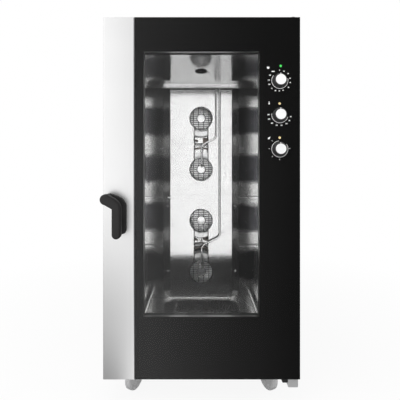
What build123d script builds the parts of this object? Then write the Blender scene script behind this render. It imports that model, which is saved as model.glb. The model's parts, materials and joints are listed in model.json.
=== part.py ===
from build123d import *
import os
from math import cos, radians, sin, tan

# Floor-standing combi oven for a roll-in trolley. The origin is on the floor, under the middle
# of the whole oven. +X is to the right of somebody facing the door, +Y goes into the oven and
# +Z is up. Depths in this file are counted from the outer face of the door towards the back.

# Driving dimensions of the cabinet, in millimetres
BODY_WIDTH = 935.0
BODY_DEPTH = 890.0
DOOR_HEIGHT = 1717.0
CASTOR_HEIGHT = 159.0
TOP_RISE = 8.0
REAR_REACH = 35.0
CHIMNEY_RISE = 52.0
COLLAR_START = 2.0

# Sheet metal and clearances
SHEET = 1.5
FRAME_SHEET = 2.0
PANEL_FOLD = 15.0
GAP = 0.3
HAIR = 0.1
RUNNING = 0.05

# Door
DOOR_THICK = 60.0
STILE_WIDTH = 151.0
STILE_EDGE_R = 6.0
GLASS_THICK = 4.0
PRINT_THICK = 0.4
WINDOW_FROM_SIDE = 193.0
WINDOW_ABOVE_BOTTOM = 295.5
WINDOW_BELOW_TOP = 162.5
SPACER_WALL = 3.0
SPACER_DEPTH = 24.0
SEAL_WIDTH = 12.0
INNER_GLASS_DEPTH = 41.0
INNER_GLASS_THICK = 5.0
INNER_GLASS_LAP = 15.0
INNER_FRAME_LAP = 24.0
INNER_FRAME_OPEN = 6.0

# Hinge on the right-hand edge
HINGE_FROM_SIDE = 31.5
HINGE_DEPTH = 30.0
HINGE_PIN_R = 8.0
HINGE_PIN_LENGTH = 26.0
HINGE_BUSH_R = 14.0
LOWER_BRACKET_WIDTH = 48.0
LOWER_BRACKET_DROP = 42.0
LOWER_BRACKET_REACH = 78.0
LOWER_BRACKET_TAIL = 130.0
BRACKET_WALL = 3.0
UPPER_BRACKET_WIDTH = 30.0
UPPER_BRACKET_THICK = 5.0
UPPER_BRACKET_TAIL = 112.0
BRACKET_FRONT = 8.0
SLEEVE_WIDTH = 28.0
SLEEVE_DROP = 20.0

# Handle and latch
HANDLE_FROM_SIDE = 33.5
HANDLE_ABOVE_BOTTOM = 861.0
HANDLE_BEND_R = 55.0
HANDLE_HALF_WIDTH = 21.5
HANDLE_GRIP_LENGTH = 100.0
HANDLE_BASE_THICK = 15.0
HANDLE_REACH = 88.0
HANDLE_LEVER_THICK = 38.0
HANDLE_ROUND = 9.0
SPINDLE_R = 7.0
HOOK_LENGTH = 30.0
HOOK_HALF_WIDTH = 8.0
HOOK_THICK = 5.0
HOOK_DEPTH = 68.0
STRIKE_WIDTH = 34.0
STRIKE_LIP_DEPTH = 62.0
STRIKE_LIP_THICK = 4.0
STRIKE_LAP = 10.0

# Controls
KNOB_FROM_SIDE = 96.0
KNOB_BELOW_TOP = 299.8
KNOB_PITCH = 162.4
KNOB_COUNT = 3
KNOB_BASE_R = 34.0
KNOB_NECK_R = 26.5
KNOB_SKIRT_HEIGHT = 21.0
KNOB_CAP_R = 24.5
KNOB_CAP_HEIGHT = 5.0
KNOB_FLUTES = 24
KNOB_FLUTE_R = 1.6
KNOB_SHAFT_R = 3.0
LAMP_R = 6.0
LAMP_ABOVE_KNOB = 53.5
TOP_LAMP_ABOVE_KNOB = 69.5
TOP_LAMP_OFFSET = 5.0
BOARD_WIDTH = 110.0
BOARD_MARGIN = 60.0
BOARD_THICK = 2.0
DIAL_SWITCH_R = 14.0
DIAL_SWITCH_DEPTH = 11.0

# Oven chamber
CHAMBER_FROM_SIDE = 119.0
CHAMBER_BELOW_TOP = 149.0
CHAMBER_FLOOR = 126.0
CHAMBER_CORNER_R = 25.0
FRAME_DEPTH = 76.0
INSULATION = 60.0
INSULATION_ABOVE = 36.0
GASKET_WIDTH = 20.0
GASKET_INSET = 6.0

# Baffle in front of the fans
FAN_COUNT = 4
BAFFLE_FROM_BACK = 377.0
BAFFLE_TO_REAR_WALL = 115.0
BAFFLE_BOTTOM_GAP = 52.0
BAFFLE_TOP_GAP = 106.0
BAFFLE_TOP_RISE = 35.0
BAFFLE_TOP_SWEEP = 52.0
BAFFLE_OFF_WALL = 28.0
GUIDE_BEHIND_FRAME = 4.0
GUIDE_BELOW_CEILING = 3.0
GUIDE_DROP = 53.4
GUIDE_LIP = 25.6
GUIDE_BEFORE_PIPE = 3.0
BAFFLE_HALF_FLAT = 193.0
BAFFLE_HALF_WIDTH = 248.0
BAFFLE_THICK = 2.0
BAFFLE_EYE_LAP = 41.0
BAFFLE_SLOT_WIDTH = 86.0
SCREW_HALF_SPAN = 168.0
SCREW_BELOW_JOINT = 8.0
SCREW_ABOVE_BOTTOM = 15.0
SCREW_HEAD_R = 5.0
SCREW_HEAD = 4.0
SCREW_R = 2.5
SCREW_LENGTH = 14.0
STANDOFF_R = 6.0
CROSSBAR_BELOW_JOINT = 25.0
CROSSBAR_HEIGHT = 8.0
CROSSBAR_THICK = 4.0
NOTCH_SIZE = 26.0

# Wire guard over each fan eye
GUARD_R = 71.0
GUARD_WIRE_R = 2.5
GUARD_BAR_R = 1.4
GUARD_POST_R = 1.8
GUARD_LEG_R = 2.2
GUARD_LEG_BEND_R = 8.0
GUARD_BAR_PITCH = 13.0
GUARD_POST_PITCH = 32.0
GUARD_CENTRE_R = 27.0
GUARD_HALF_WAIST = 44.0

# Fans and heating elements
FAN_RING_WIDTH = 26.0
FAN_PLATE = 3.0
FAN_BEHIND_BAFFLE = 20.5
FAN_OFF_WALL = 29.0
FAN_BLADES = 12
FAN_BLADE_LENGTH = 54.0
FAN_BLADE_THICK = 2.5
FAN_HUB_R = 22.0
FAN_HUB_LENGTH = 37.0
FAN_NUT_R = 13.0
FAN_NUT_LENGTH = 14.0
SHAFT_R = 7.0
SHAFT_HOLE_R = 16.0
MOTOR_R = 58.0
MOTOR_FLANGE = 124.0
MOTOR_FLANGE_THICK = 6.0
MOTOR_LENGTH = 120.0
MOTOR_RIB_COUNT = 6
MOTOR_RIB = 4.0
ELEMENT_END_GAP = 22.5
ELEMENT_AROUND_FAN = 28.0
ELEMENT_TUBE_R = 4.25
ELEMENT_FRONT_OFF_WALL = 68.0
ELEMENT_REAR_OFF_WALL = 43.0
ELEMENT_START = 10.0
ELEMENT_STEP = 12.0
ELEMENT_PLATE = 3.0

# Water, steam and drain
PIPE_R = 6.0
PIPE_BEFORE_GUARD = 7.0
PIPE_UPPER_X = 94.0
PIPE_LOWER_X = 116.0
PIPE_DROP_X = 4.0
PIPE_UPPER_TURNS = (38.0, -8.0)
PIPE_LOWER_TURNS = (62.0, 8.0)
PIPE_BEND_R = 32.0
PIPE_TIP_ABOVE_HUB = 17.0
PIPE_ELBOW_R = 13.0
PIPE_TIP_REACH = 17.0
VALVE_BLOCK = 72.0
VALVE_BLOCK_HEIGHT = 32.0
VALVE_COIL_R = 14.0
VALVE_COIL_HEIGHT = 36.0
FEED_PIPE_R = 8.0
INLET_THREAD_R = 13.2
INLET_NECK_R = 12.0
INLET_THREAD_LENGTH = 18.0
INLET_NUT_R = 20.0
INLET_NUT = 8.0
VENT_R = 36.0
VENT_WALL = 1.5
VENT_COLLAR = 1.5
VENT_DEPTH = 284.0
VENT_BEND_R = 48.0
VENT_BEND_CLEAR = 2.2
CHIMNEY_FROM_BACK = 190.0
DAMPER_THICK = 2.0
DAMPER_CLEAR = 0.6
DAMPER_SHAFT_R = 3.0
DAMPER_MOTOR_SIZE = 50.0
DRAIN_R = 23.5
DRAIN_WALL = 1.5
DRAIN_COLLAR = 1.5
DRAIN_DEPTH = 352.0
DRAIN_RUN_ABOVE_BOTTOM = 35.0
DRAIN_BEND_R = 28.0
STRAINER_R = 34.0
STRAINER_THICK = 2.0
STRAINER_SKIRT = 10.0
STRAINER_HOLES = 12
STRAINER_HOLE_R = 3.0

# Electrical parts
TRAY_THICK = 2.0
TRAY_FROM_BACK = 140.0
TRAY_LENGTH = 400.0
TRAY_ABOVE_BOTTOM = 741.0
TRAY_HEIGHT = 600.0
CONTACTOR_COUNT = 4
CONTACTOR_SIZE = (40.0, 70.0, 85.0)
CONTACTOR_PITCH = 130.0
GLAND_FROM_SIDE = 87.5
GLAND_ABOVE_BOTTOM = 161.0
GLAND_BORE_R = 10.0
GLAND_THREAD_R = 16.0
GLAND_NUT_R = 22.0
GLAND_NUT = 10.0
GLAND_OUTSIDE = 28.0
LOUVRE_COUNT = 12
LOUVRE_WIDTH = 260.0
LOUVRE_HEIGHT = 8.0
LOUVRE_PITCH = 22.0
LOUVRE_BELOW_TOP = 504.0
PROBE_R = 3.0
PROBE_LENGTH = 60.0
PROBE_X = 60.0
PROBE_PLATE_R = 9.0

# Base frame and castors
RAIL_WIDTH = 40.0
RAIL_WALL = 2.0
CROSS_RAIL_WIDTH = 90.0
CASTOR_FROM_SIDE = 102.5
CASTOR_FRONT_DEPTH = 145.0
CASTOR_REAR_FROM_BACK = 120.0
CASTOR_PLATE = (104.0, 86.0)
CASTOR_PLATE_THICK = 4.0
CASTOR_BOLT_R = 4.5
CASTOR_BOLT_SPAN = (80.0, 60.0)
SWIVEL_BOSS_R = 22.0
SWIVEL_BOSS = 10.0
SWIVEL_PIN_R = 6.0
CASTOR_HEAD = 34.0
WHEEL_WIDTH = 36.0
WHEEL_ROUND = 7.0
HUB_LENGTH = 40.0
AXLE_R = 5.0
AXLE_HEAD_R = 8.5
AXLE_HEAD = 5.0
TRAIL = 32.0
FORK_THICK = 4.0
FORK_CROWN_R = 36.0
FORK_LEG_TOP = 52.0
FORK_LEG_FOOT = 13.0
CASTOR_TURN = 25.0

# Worked out from the sizes above
FACE_Y = -(BODY_DEPTH + REAR_REACH - HANDLE_REACH) / 2
HALF_WIDTH = BODY_WIDTH / 2
BODY_Z = CASTOR_HEIGHT
DOOR_TOP = BODY_Z + DOOR_HEIGHT
WINDOW_WIDTH = BODY_WIDTH - 2 * WINDOW_FROM_SIDE
WINDOW_HEIGHT = DOOR_HEIGHT - WINDOW_ABOVE_BOTTOM - WINDOW_BELOW_TOP
CHAMBER_WIDTH = BODY_WIDTH - 2 * CHAMBER_FROM_SIDE
CHAMBER_HEIGHT = DOOR_HEIGHT - CHAMBER_FLOOR - CHAMBER_BELOW_TOP
BAFFLE_DEPTH = BODY_DEPTH - BAFFLE_FROM_BACK
CHAMBER_REAR = BAFFLE_DEPTH + BAFFLE_TO_REAR_WALL
BAFFLE_BACK = CHAMBER_REAR - BAFFLE_OFF_WALL
FAN_PITCH = (CHAMBER_HEIGHT - BAFFLE_BOTTOM_GAP - BAFFLE_TOP_GAP) / FAN_COUNT
ELEMENT_RING_R = FAN_PITCH / 2 - ELEMENT_END_GAP
FAN_R = ELEMENT_RING_R - ELEMENT_AROUND_FAN
FAN_EYE_R = FAN_R - FAN_RING_WIDTH
FAN_BLADE_INNER_R = FAN_R - 1 - FAN_BLADE_LENGTH
BAFFLE_EYE_R = FAN_R - BAFFLE_EYE_LAP
FAN_FRONT_DEPTH = BAFFLE_DEPTH + FAN_BEHIND_BAFFLE
FAN_BACK_DEPTH = CHAMBER_REAR - FAN_OFF_WALL
FAN_HUB_DEPTH = FAN_BACK_DEPTH - FAN_HUB_LENGTH
ELEMENT_FRONT_DEPTH = CHAMBER_REAR - ELEMENT_FRONT_OFF_WALL
ELEMENT_REAR_DEPTH = CHAMBER_REAR - ELEMENT_REAR_OFF_WALL
PIPE_DEPTH = BAFFLE_DEPTH - 2 * GUARD_WIRE_R - PIPE_BEFORE_GUARD - PIPE_R
PIPE_TIP_DEPTH = BAFFLE_DEPTH + PIPE_TIP_REACH
GUIDE_DEPTH = (FRAME_DEPTH + GUIDE_BEHIND_FRAME, PIPE_DEPTH - PIPE_R - GUIDE_BEFORE_PIPE)
BODY_TOP = DOOR_TOP + TOP_RISE
WALL_TOP = BODY_TOP - SHEET - GAP
CHAMBER_Z = BODY_Z + CHAMBER_FLOOR
CHAMBER_TOP = CHAMBER_Z + CHAMBER_HEIGHT
CHAMBER_HALF = CHAMBER_WIDTH / 2
CHIMNEY_DEPTH = BODY_DEPTH - CHIMNEY_FROM_BACK
DAMPER_DEPTH = (VENT_DEPTH + CHIMNEY_DEPTH) / 2
DRAIN_RUN_Z = BODY_Z + DRAIN_RUN_ABOVE_BOTTOM
TRAY_DEPTHS = (BODY_DEPTH - TRAY_FROM_BACK - TRAY_LENGTH, BODY_DEPTH - TRAY_FROM_BACK)
TRAY_HEIGHTS = (BODY_Z + TRAY_ABOVE_BOTTOM, BODY_Z + TRAY_ABOVE_BOTTOM + TRAY_HEIGHT)
GLAND_X = HALF_WIDTH - GLAND_FROM_SIDE
GLAND_Z = BODY_Z + GLAND_ABOVE_BOTTOM
LOUVRE_Z = BODY_TOP - LOUVRE_BELOW_TOP
CASTOR_X = HALF_WIDTH - CASTOR_FROM_SIDE
CASTOR_REAR_DEPTH = BODY_DEPTH - CASTOR_REAR_FROM_BACK
WHEEL_R = (CASTOR_HEIGHT - CASTOR_HEAD) / 2
CHAMBER_OUT = CHAMBER_HALF + SHEET
CHAMBER_BACK = CHAMBER_REAR + SHEET
WINDOW_TOP = DOOR_TOP - WINDOW_BELOW_TOP
WINDOW_MID_Z = WINDOW_TOP - WINDOW_HEIGHT / 2
GLASS_LEFT = STILE_WIDTH - HALF_WIDTH
HINGE_X = HALF_WIDTH - HINGE_FROM_SIDE
HANDLE_X = HANDLE_FROM_SIDE - HALF_WIDTH
HANDLE_PIVOT_Z = BODY_Z + HANDLE_ABOVE_BOTTOM
KNOB_X = HALF_WIDTH - KNOB_FROM_SIDE
KNOB_TOP_Z = DOOR_TOP - KNOB_BELOW_TOP
KNOB_ZS = [KNOB_TOP_Z - KNOB_PITCH * i for i in range(KNOB_COUNT)]
BAFFLE_BOTTOM = CHAMBER_Z + BAFFLE_BOTTOM_GAP
BAFFLE_TOP = CHAMBER_TOP - BAFFLE_TOP_GAP
FAN_ZS = [BAFFLE_TOP - FAN_PITCH * (i + 0.5) for i in range(FAN_COUNT)]
JOINT_ZS = [BAFFLE_TOP - FAN_PITCH * (i + 1) for i in range(FAN_COUNT - 1)]
SCREW_ZS = [z - SCREW_BELOW_JOINT for z in JOINT_ZS] + [BAFFLE_BOTTOM + SCREW_ABOVE_BOTTOM]
INSULATION_OUT = CHAMBER_OUT + GAP + INSULATION
INSULATION_TOP = CHAMBER_TOP + SHEET + GAP + INSULATION_ABOVE
INSULATION_BOTTOM = CHAMBER_Z - SHEET - GAP - INSULATION
VENT_RUN_Z = INSULATION_TOP + VENT_BEND_R + VENT_BEND_CLEAR
INSULATION_BACK = CHAMBER_BACK + GAP + INSULATION
RAIL_Z = BODY_Z + SHEET + GAP
RAIL_TOP = INSULATION_BOTTOM - GAP
CABINET_FRONT = FRAME_DEPTH + FRAME_SHEET + GAP
PANEL_BACK = BODY_DEPTH - SHEET - GAP
SWIVEL_Z = CASTOR_HEIGHT - CASTOR_PLATE_THICK - SWIVEL_BOSS
CROWN_Z = SWIVEL_Z - GAP


def at(depth):
    """Y of a depth behind the outer face of the door."""
    return FACE_Y + depth


def slab(x, depth, z):
    """Box between two X values, two depths and two heights."""
    centre = ((x[0] + x[1]) / 2, at((depth[0] + depth[1]) / 2), (z[0] + z[1]) / 2)
    return Pos(*centre) * Box(x[1] - x[0], depth[1] - depth[0], z[1] - z[0])


def rod_x(radius, x, depth, z):
    """Round bar along X."""
    centre = ((x[0] + x[1]) / 2, at(depth), z)
    return Pos(*centre) * Rot(0, 90, 0) * Cylinder(radius, x[1] - x[0])


def rod_y(radius, x, depth, z):
    """Round bar along Y, between two depths."""
    centre = (x, at((depth[0] + depth[1]) / 2), z)
    return Pos(*centre) * Rot(90, 0, 0) * Cylinder(radius, depth[1] - depth[0])


def rod_z(radius, x, depth, z):
    """Round bar along Z, between two heights."""
    return Pos(x, at(depth), (z[0] + z[1]) / 2) * Cylinder(radius, z[1] - z[0])


def facing(sketch, depth, thickness):
    """Sketch drawn as seen from the front, with X right and Y up, made solid backwards."""
    return Pos(0, at(depth), 0) * Rot(90, 0, 0) * extrude(sketch, -thickness)


def window_ring(inner_margin, outer_margin, depth):
    """Rectangular ring round the window, from one margin outside it to another."""
    half_x = WINDOW_WIDTH / 2
    half_z = WINDOW_HEIGHT / 2
    low, high = WINDOW_MID_Z - half_z, WINDOW_MID_Z + half_z
    outer = slab(
        (-half_x - outer_margin, half_x + outer_margin), depth, (low - outer_margin, high + outer_margin)
    )
    inner = slab(
        (-half_x - inner_margin, half_x + inner_margin), depth, (low - inner_margin, high + inner_margin)
    )
    return outer - inner


def pipe_along(points, radii, outer_r, inner_r=0.0):
    """Round tube along straight runs joined by tangent arcs."""
    path = FilletPolyline(*points, radius=radii)
    start = path.location_at(0)
    section = Circle(outer_r)
    if inner_r:
        section = section - Circle(inner_r)
    return sweep(start * section, path=path)


# Cabinet


def make_base_frame():
    depth = (CABINET_FRONT + SHEET + GAP, PANEL_BACK - SHEET - GAP)
    half = HALF_WIDTH - SHEET - GAP
    z = (RAIL_Z, RAIL_TOP)
    pocket_z = (RAIL_Z + RAIL_WALL, RAIL_TOP + 1)
    inside = (-half + RAIL_WIDTH, half - RAIL_WIDTH)
    inside_depth = (depth[0] + RAIL_WIDTH, depth[1] - RAIL_WIDTH)
    frame = slab((-half, half), depth, z) - slab(inside, inside_depth, (z[0] - 1, z[1] + 1))
    trough_depth = (depth[0] + RAIL_WALL, depth[1] - RAIL_WALL)
    trough = slab((-half + RAIL_WALL, half - RAIL_WALL), trough_depth, pocket_z)
    trough -= slab(
        (inside[0] - RAIL_WALL, inside[1] + RAIL_WALL),
        (inside_depth[0] - RAIL_WALL, inside_depth[1] + RAIL_WALL),
        pocket_z,
    )
    frame -= trough
    for row in (CASTOR_FRONT_DEPTH, CASTOR_REAR_DEPTH):
        rail_depth = (row - CROSS_RAIL_WIDTH / 2, row + CROSS_RAIL_WIDTH / 2)
        rail = slab(inside, rail_depth, z)
        rail -= slab(inside, (rail_depth[0] + RAIL_WALL, rail_depth[1] - RAIL_WALL), pocket_z)
        frame += rail
    frame -= rod_y(DRAIN_R + DRAIN_WALL + GAP, 0, (DRAIN_DEPTH, BODY_DEPTH), DRAIN_RUN_Z)
    floor_sheet = slab((-half, half), depth, (BODY_Z, BODY_Z + SHEET))
    for x, row in castor_places():
        for bolt_x, bolt_depth in castor_bolts(x, row):
            floor_sheet -= rod_z(CASTOR_BOLT_R, bolt_x, bolt_depth, (BODY_Z - 1, BODY_Z + 2))
            frame -= rod_z(CASTOR_BOLT_R, bolt_x, bolt_depth, (RAIL_Z - 1, RAIL_Z + RAIL_WALL + 1))
    return [frame, floor_sheet]


def make_side_panel(side):
    inner = HALF_WIDTH - SHEET
    z = (BODY_Z, WALL_TOP)
    skin = (inner, HALF_WIDTH)
    fold = (HALF_WIDTH - PANEL_FOLD, HALF_WIDTH)
    panel = slab(skin, (CABINET_FRONT, PANEL_BACK), z)
    panel += slab(fold, (CABINET_FRONT, CABINET_FRONT + SHEET), z)
    panel += slab(fold, (PANEL_BACK - SHEET, PANEL_BACK), z)
    return panel if side > 0 else mirror(panel, Plane.YZ)


def make_top_panel():
    panel = slab((-HALF_WIDTH, HALF_WIDTH), (FRAME_DEPTH, BODY_DEPTH), (BODY_TOP - SHEET, BODY_TOP))
    hole_r = VENT_R + VENT_WALL + GAP
    return panel - rod_z(hole_r, 0, CHIMNEY_DEPTH, (BODY_TOP - 5, BODY_TOP + 5))


def make_rear_panel():
    depth = (BODY_DEPTH - SHEET, BODY_DEPTH)
    cut = (BODY_DEPTH - 5, BODY_DEPTH + 5)
    panel = slab((-HALF_WIDTH, HALF_WIDTH), depth, (BODY_Z, WALL_TOP))
    panel -= rod_y(DRAIN_R + DRAIN_WALL + GAP, 0, cut, DRAIN_RUN_Z)
    panel -= rod_y(INLET_THREAD_R + GAP, feed_x(), cut, feed_z())
    panel -= rod_y(GLAND_THREAD_R + GAP, GLAND_X, cut, GLAND_Z)
    for i in range(LOUVRE_COUNT):
        z = LOUVRE_Z + LOUVRE_PITCH * i
        panel -= slab((-LOUVRE_WIDTH / 2, LOUVRE_WIDTH / 2), cut, (z, z + LOUVRE_HEIGHT))
    return panel


def make_front_frame():
    depth = (FRAME_DEPTH, FRAME_DEPTH + FRAME_SHEET)
    frame = slab((-HALF_WIDTH, HALF_WIDTH), depth, (BODY_Z, DOOR_TOP + GAP))
    return frame - chamber_block(SHEET + GAP, (FRAME_DEPTH - 1, FRAME_DEPTH + FRAME_SHEET + 1))


# Oven chamber


def chamber_block(margin, depth):
    """Rounded rectangular block that is the chamber's inner section, grown by a margin."""
    block = slab(
        (-CHAMBER_HALF - margin, CHAMBER_HALF + margin), depth, (CHAMBER_Z - margin, CHAMBER_TOP + margin)
    )
    return fillet(block.edges().filter_by(Axis.Y), CHAMBER_CORNER_R + margin)


def make_oven_chamber():
    shell = chamber_block(SHEET, (FRAME_DEPTH, CHAMBER_BACK))
    shell -= chamber_block(0, (FRAME_DEPTH - 1, CHAMBER_REAR))
    for z in FAN_ZS:
        shell -= rod_y(SHAFT_HOLE_R, 0, (CHAMBER_REAR - 1, CHAMBER_BACK + 1), z)
    ceiling = (CHAMBER_TOP - 1, CHAMBER_TOP + SHEET + 1)
    shell -= rod_z(VENT_R + VENT_WALL + GAP, 0, VENT_DEPTH, ceiling)
    for x in (PIPE_UPPER_X, PIPE_LOWER_X):
        shell -= rod_z(PIPE_R + GAP, x, PIPE_DEPTH, ceiling)
    shell -= rod_z(DRAIN_R, 0, DRAIN_DEPTH, (CHAMBER_Z - SHEET - 1, CHAMBER_Z + 1))
    return shell


def make_insulation():
    side_x = (CHAMBER_OUT + GAP, INSULATION_OUT)
    height = (INSULATION_BOTTOM, INSULATION_TOP)
    depth = (CABINET_FRONT + SHEET + GAP, CHAMBER_BACK)
    right = slab(side_x, depth, height)
    left = mirror(right, Plane.YZ)
    top = slab((-CHAMBER_OUT, CHAMBER_OUT), depth, (CHAMBER_TOP + SHEET + GAP, INSULATION_TOP))
    top -= rod_z(VENT_R + VENT_WALL + GAP, 0, VENT_DEPTH, (CHAMBER_TOP, INSULATION_TOP + 1))
    for x in (PIPE_UPPER_X, PIPE_LOWER_X):
        top -= rod_z(PIPE_R + GAP, x, PIPE_DEPTH, (CHAMBER_TOP, INSULATION_TOP + 1))
    bottom = slab((-CHAMBER_OUT, CHAMBER_OUT), depth, (INSULATION_BOTTOM, CHAMBER_Z - SHEET - GAP))
    bottom -= rod_z(STRAINER_R + GAP, 0, DRAIN_DEPTH, (INSULATION_BOTTOM - 1, CHAMBER_Z))
    rear = slab((-INSULATION_OUT, INSULATION_OUT), (CHAMBER_BACK + GAP, INSULATION_BACK), height)
    for z in FAN_ZS:
        rear -= rod_y(SHAFT_HOLE_R, 0, (CHAMBER_BACK, INSULATION_BACK + 1), z)
    return [left, right, top, bottom, rear]


def make_door_gasket():
    depth = (DOOR_THICK + GAP, FRAME_DEPTH)
    outer = chamber_block(SHEET + GASKET_INSET + GASKET_WIDTH, depth)
    return outer - chamber_block(SHEET + GASKET_INSET, (depth[0] - 1, depth[1] + 1))


# Baffle, guards and fans


def baffle_profile():
    """Folded baffle sheet as seen from above: flat middle and two swept-back flanges."""
    angle = BAFFLE_BACK - BAFFLE_DEPTH
    spread = BAFFLE_HALF_WIDTH - BAFFLE_HALF_FLAT
    inset = BAFFLE_THICK * (tan(radians(45)) - 0.5)
    front = [
        (-BAFFLE_HALF_WIDTH, at(BAFFLE_DEPTH + angle)),
        (-BAFFLE_HALF_FLAT, at(BAFFLE_DEPTH)),
        (BAFFLE_HALF_FLAT, at(BAFFLE_DEPTH)),
        (BAFFLE_HALF_WIDTH, at(BAFFLE_DEPTH + angle)),
    ]
    run = BAFFLE_THICK * (angle**2 + spread**2) ** 0.5 / angle
    back = [
        (BAFFLE_HALF_WIDTH - run, at(BAFFLE_DEPTH + angle)),
        (BAFFLE_HALF_FLAT - inset, at(BAFFLE_DEPTH + BAFFLE_THICK)),
        (-BAFFLE_HALF_FLAT + inset, at(BAFFLE_DEPTH + BAFFLE_THICK)),
        (-BAFFLE_HALF_WIDTH + run, at(BAFFLE_DEPTH + angle)),
    ]
    return Polygon(*front, *back, align=None)


def baffle_top_flange(edge_z):
    """Sheet that sweeps back and up from the top panel's upper edge."""
    back_z = edge_z + BAFFLE_TOP_SWEEP
    slope = BAFFLE_TOP_SWEEP / (BAFFLE_BACK - BAFFLE_DEPTH)
    drop = BAFFLE_THICK * (1 + slope**2) ** 0.5
    section = [
        (at(BAFFLE_DEPTH), edge_z),
        (at(BAFFLE_BACK), back_z),
        (at(BAFFLE_BACK), back_z - drop),
        (at(BAFFLE_DEPTH + BAFFLE_THICK), edge_z - drop + slope * BAFFLE_THICK),
    ]
    return extrude(Plane.YZ * Polygon(*section, align=None), BAFFLE_HALF_FLAT, both=True)


def make_baffle_panels():
    panels = []
    for i, fan_z in enumerate(FAN_ZS):
        low = fan_z - FAN_PITCH / 2 + GAP
        high = fan_z + FAN_PITCH / 2 - GAP
        if i == 0:
            high += BAFFLE_TOP_RISE
        panel = Pos(0, 0, low) * extrude(baffle_profile(), high - low)
        if i == 0:
            panel += baffle_top_flange(high)
        cut = (BAFFLE_DEPTH - 1, BAFFLE_DEPTH + BAFFLE_THICK + 1)
        panel -= rod_y(BAFFLE_EYE_R, 0, cut, fan_z)
        slot_z = (low - 1, fan_z) if i % 2 == 0 else (fan_z, high + 1)
        panel -= slab((-BAFFLE_SLOT_WIDTH / 2, BAFFLE_SLOT_WIDTH / 2), cut, slot_z)
        for z in SCREW_ZS:
            for x in (-SCREW_HALF_SPAN, SCREW_HALF_SPAN):
                if low < z < high:
                    panel -= rod_y(SCREW_R + GAP, x, cut, z)
        if i == 2:
            notch_x = (-BAFFLE_HALF_FLAT - NOTCH_SIZE, -BAFFLE_HALF_FLAT - 1)
            notch_z = (high - SCREW_BELOW_JOINT - NOTCH_SIZE, high - SCREW_BELOW_JOINT)
            panel -= slab(notch_x, (BAFFLE_DEPTH - 1, BAFFLE_BACK), notch_z)
        panels.append(panel)
    return [*panels, make_ceiling_guide()]


def make_ceiling_guide():
    """Sloped sheet under the ceiling, whose rear lip hides the upper ends of the water pipes."""
    front, rear = GUIDE_DEPTH
    high = CHAMBER_TOP - GUIDE_BELOW_CEILING
    low = high - GUIDE_DROP
    slope = GUIDE_DROP / (rear - front)
    thick = BAFFLE_THICK * (1 + slope**2) ** 0.5
    section = [
        (at(front), high),
        (at(rear), low),
        (at(rear), low - GUIDE_LIP),
        (at(rear - BAFFLE_THICK), low - GUIDE_LIP),
        (at(rear - BAFFLE_THICK), low - thick + slope * BAFFLE_THICK),
        (at(front), high - thick),
    ]
    sheet = extrude(Plane.YZ * Polygon(*section, align=None), CHAMBER_HALF, both=True)
    sheet &= chamber_block(-GAP, (FRAME_DEPTH, BAFFLE_DEPTH))
    return sheet - rod_z(VENT_R, 0, VENT_DEPTH, (low, CHAMBER_TOP))


def make_baffle_supports():
    supports = []
    bar_depth = (BAFFLE_BACK + GAP, BAFFLE_BACK + GAP + CROSSBAR_THICK)
    for joint_z in JOINT_ZS:
        z = joint_z - CROSSBAR_BELOW_JOINT
        bar_z = (z - CROSSBAR_HEIGHT / 2, z + CROSSBAR_HEIGHT / 2)
        supports.append(slab((GAP - CHAMBER_HALF, CHAMBER_HALF - GAP), bar_depth, bar_z))
    for z in SCREW_ZS:
        for x in (-SCREW_HALF_SPAN, SCREW_HALF_SPAN):
            post = rod_y(STANDOFF_R, x, (BAFFLE_DEPTH + BAFFLE_THICK + HAIR, CHAMBER_REAR), z)
            bore = (BAFFLE_DEPTH, BAFFLE_DEPTH + BAFFLE_THICK + SCREW_LENGTH + 1)
            supports.append(post - rod_y(SCREW_R + HAIR, x, bore, z))
    return supports


def make_baffle_screws():
    screws = []
    for z in SCREW_ZS:
        for x in (-SCREW_HALF_SPAN, SCREW_HALF_SPAN):
            head = rod_y(SCREW_HEAD_R, x, (BAFFLE_DEPTH - SCREW_HEAD, BAFFLE_DEPTH), z)
            head += rod_y(SCREW_R, x, (BAFFLE_DEPTH - SCREW_HEAD, BAFFLE_DEPTH + SCREW_LENGTH), z)
            screws.append(head)
    return screws


def ring_y(ring_r, tube_r, x, depth, z):
    """Flat-sided ring whose axis runs along Y, as thick as its wire."""
    span = (depth - tube_r, depth + tube_r)
    return rod_y(ring_r + tube_r, x, span, z) - rod_y(ring_r - tube_r, x, span, z)


def make_fan_guard(index):
    """Wire grille over a fan eye, with two legs that run to the nearest baffle joint."""
    fan_z = FAN_ZS[index]
    toward = -1 if index % 2 == 0 else 1
    depth = BAFFLE_DEPTH - GUARD_WIRE_R - HAIR
    guard = ring_y(GUARD_R, GUARD_WIRE_R, 0, depth, fan_z)
    bars = int(GUARD_R // GUARD_BAR_PITCH)
    for i in range(-bars, bars + 1):
        offset = i * GUARD_BAR_PITCH
        half = (GUARD_R**2 - offset**2) ** 0.5
        guard += rod_x(GUARD_BAR_R, (-half, half), depth, fan_z + offset)
    for i in (-1.5, -0.5, 0.5, 1.5):
        x = i * GUARD_POST_PITCH
        half = (GUARD_R**2 - x**2) ** 0.5
        guard += rod_z(GUARD_POST_R, x, depth, (fan_z - half, fan_z + half))
    guard -= rod_y(GUARD_CENTRE_R, 0, (depth - 5, depth + 5), fan_z)
    guard += ring_y(GUARD_CENTRE_R, GUARD_POST_R, 0, depth, fan_z)
    start_z = fan_z + toward * (GUARD_R**2 - GUARD_HALF_WAIST**2) ** 0.5
    end_z = fan_z + toward * (FAN_PITCH / 2 - GUARD_WIRE_R - GAP)
    left, right = -GUARD_HALF_WAIST, GUARD_HALF_WAIST
    y = at(depth + GUARD_WIRE_R - GUARD_LEG_R)
    legs = [(left, y, start_z), (left, y, end_z), (right, y, end_z), (right, y, start_z)]
    return guard + pipe_along(legs, [GUARD_LEG_BEND_R, GUARD_LEG_BEND_R], GUARD_LEG_R)


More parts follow.
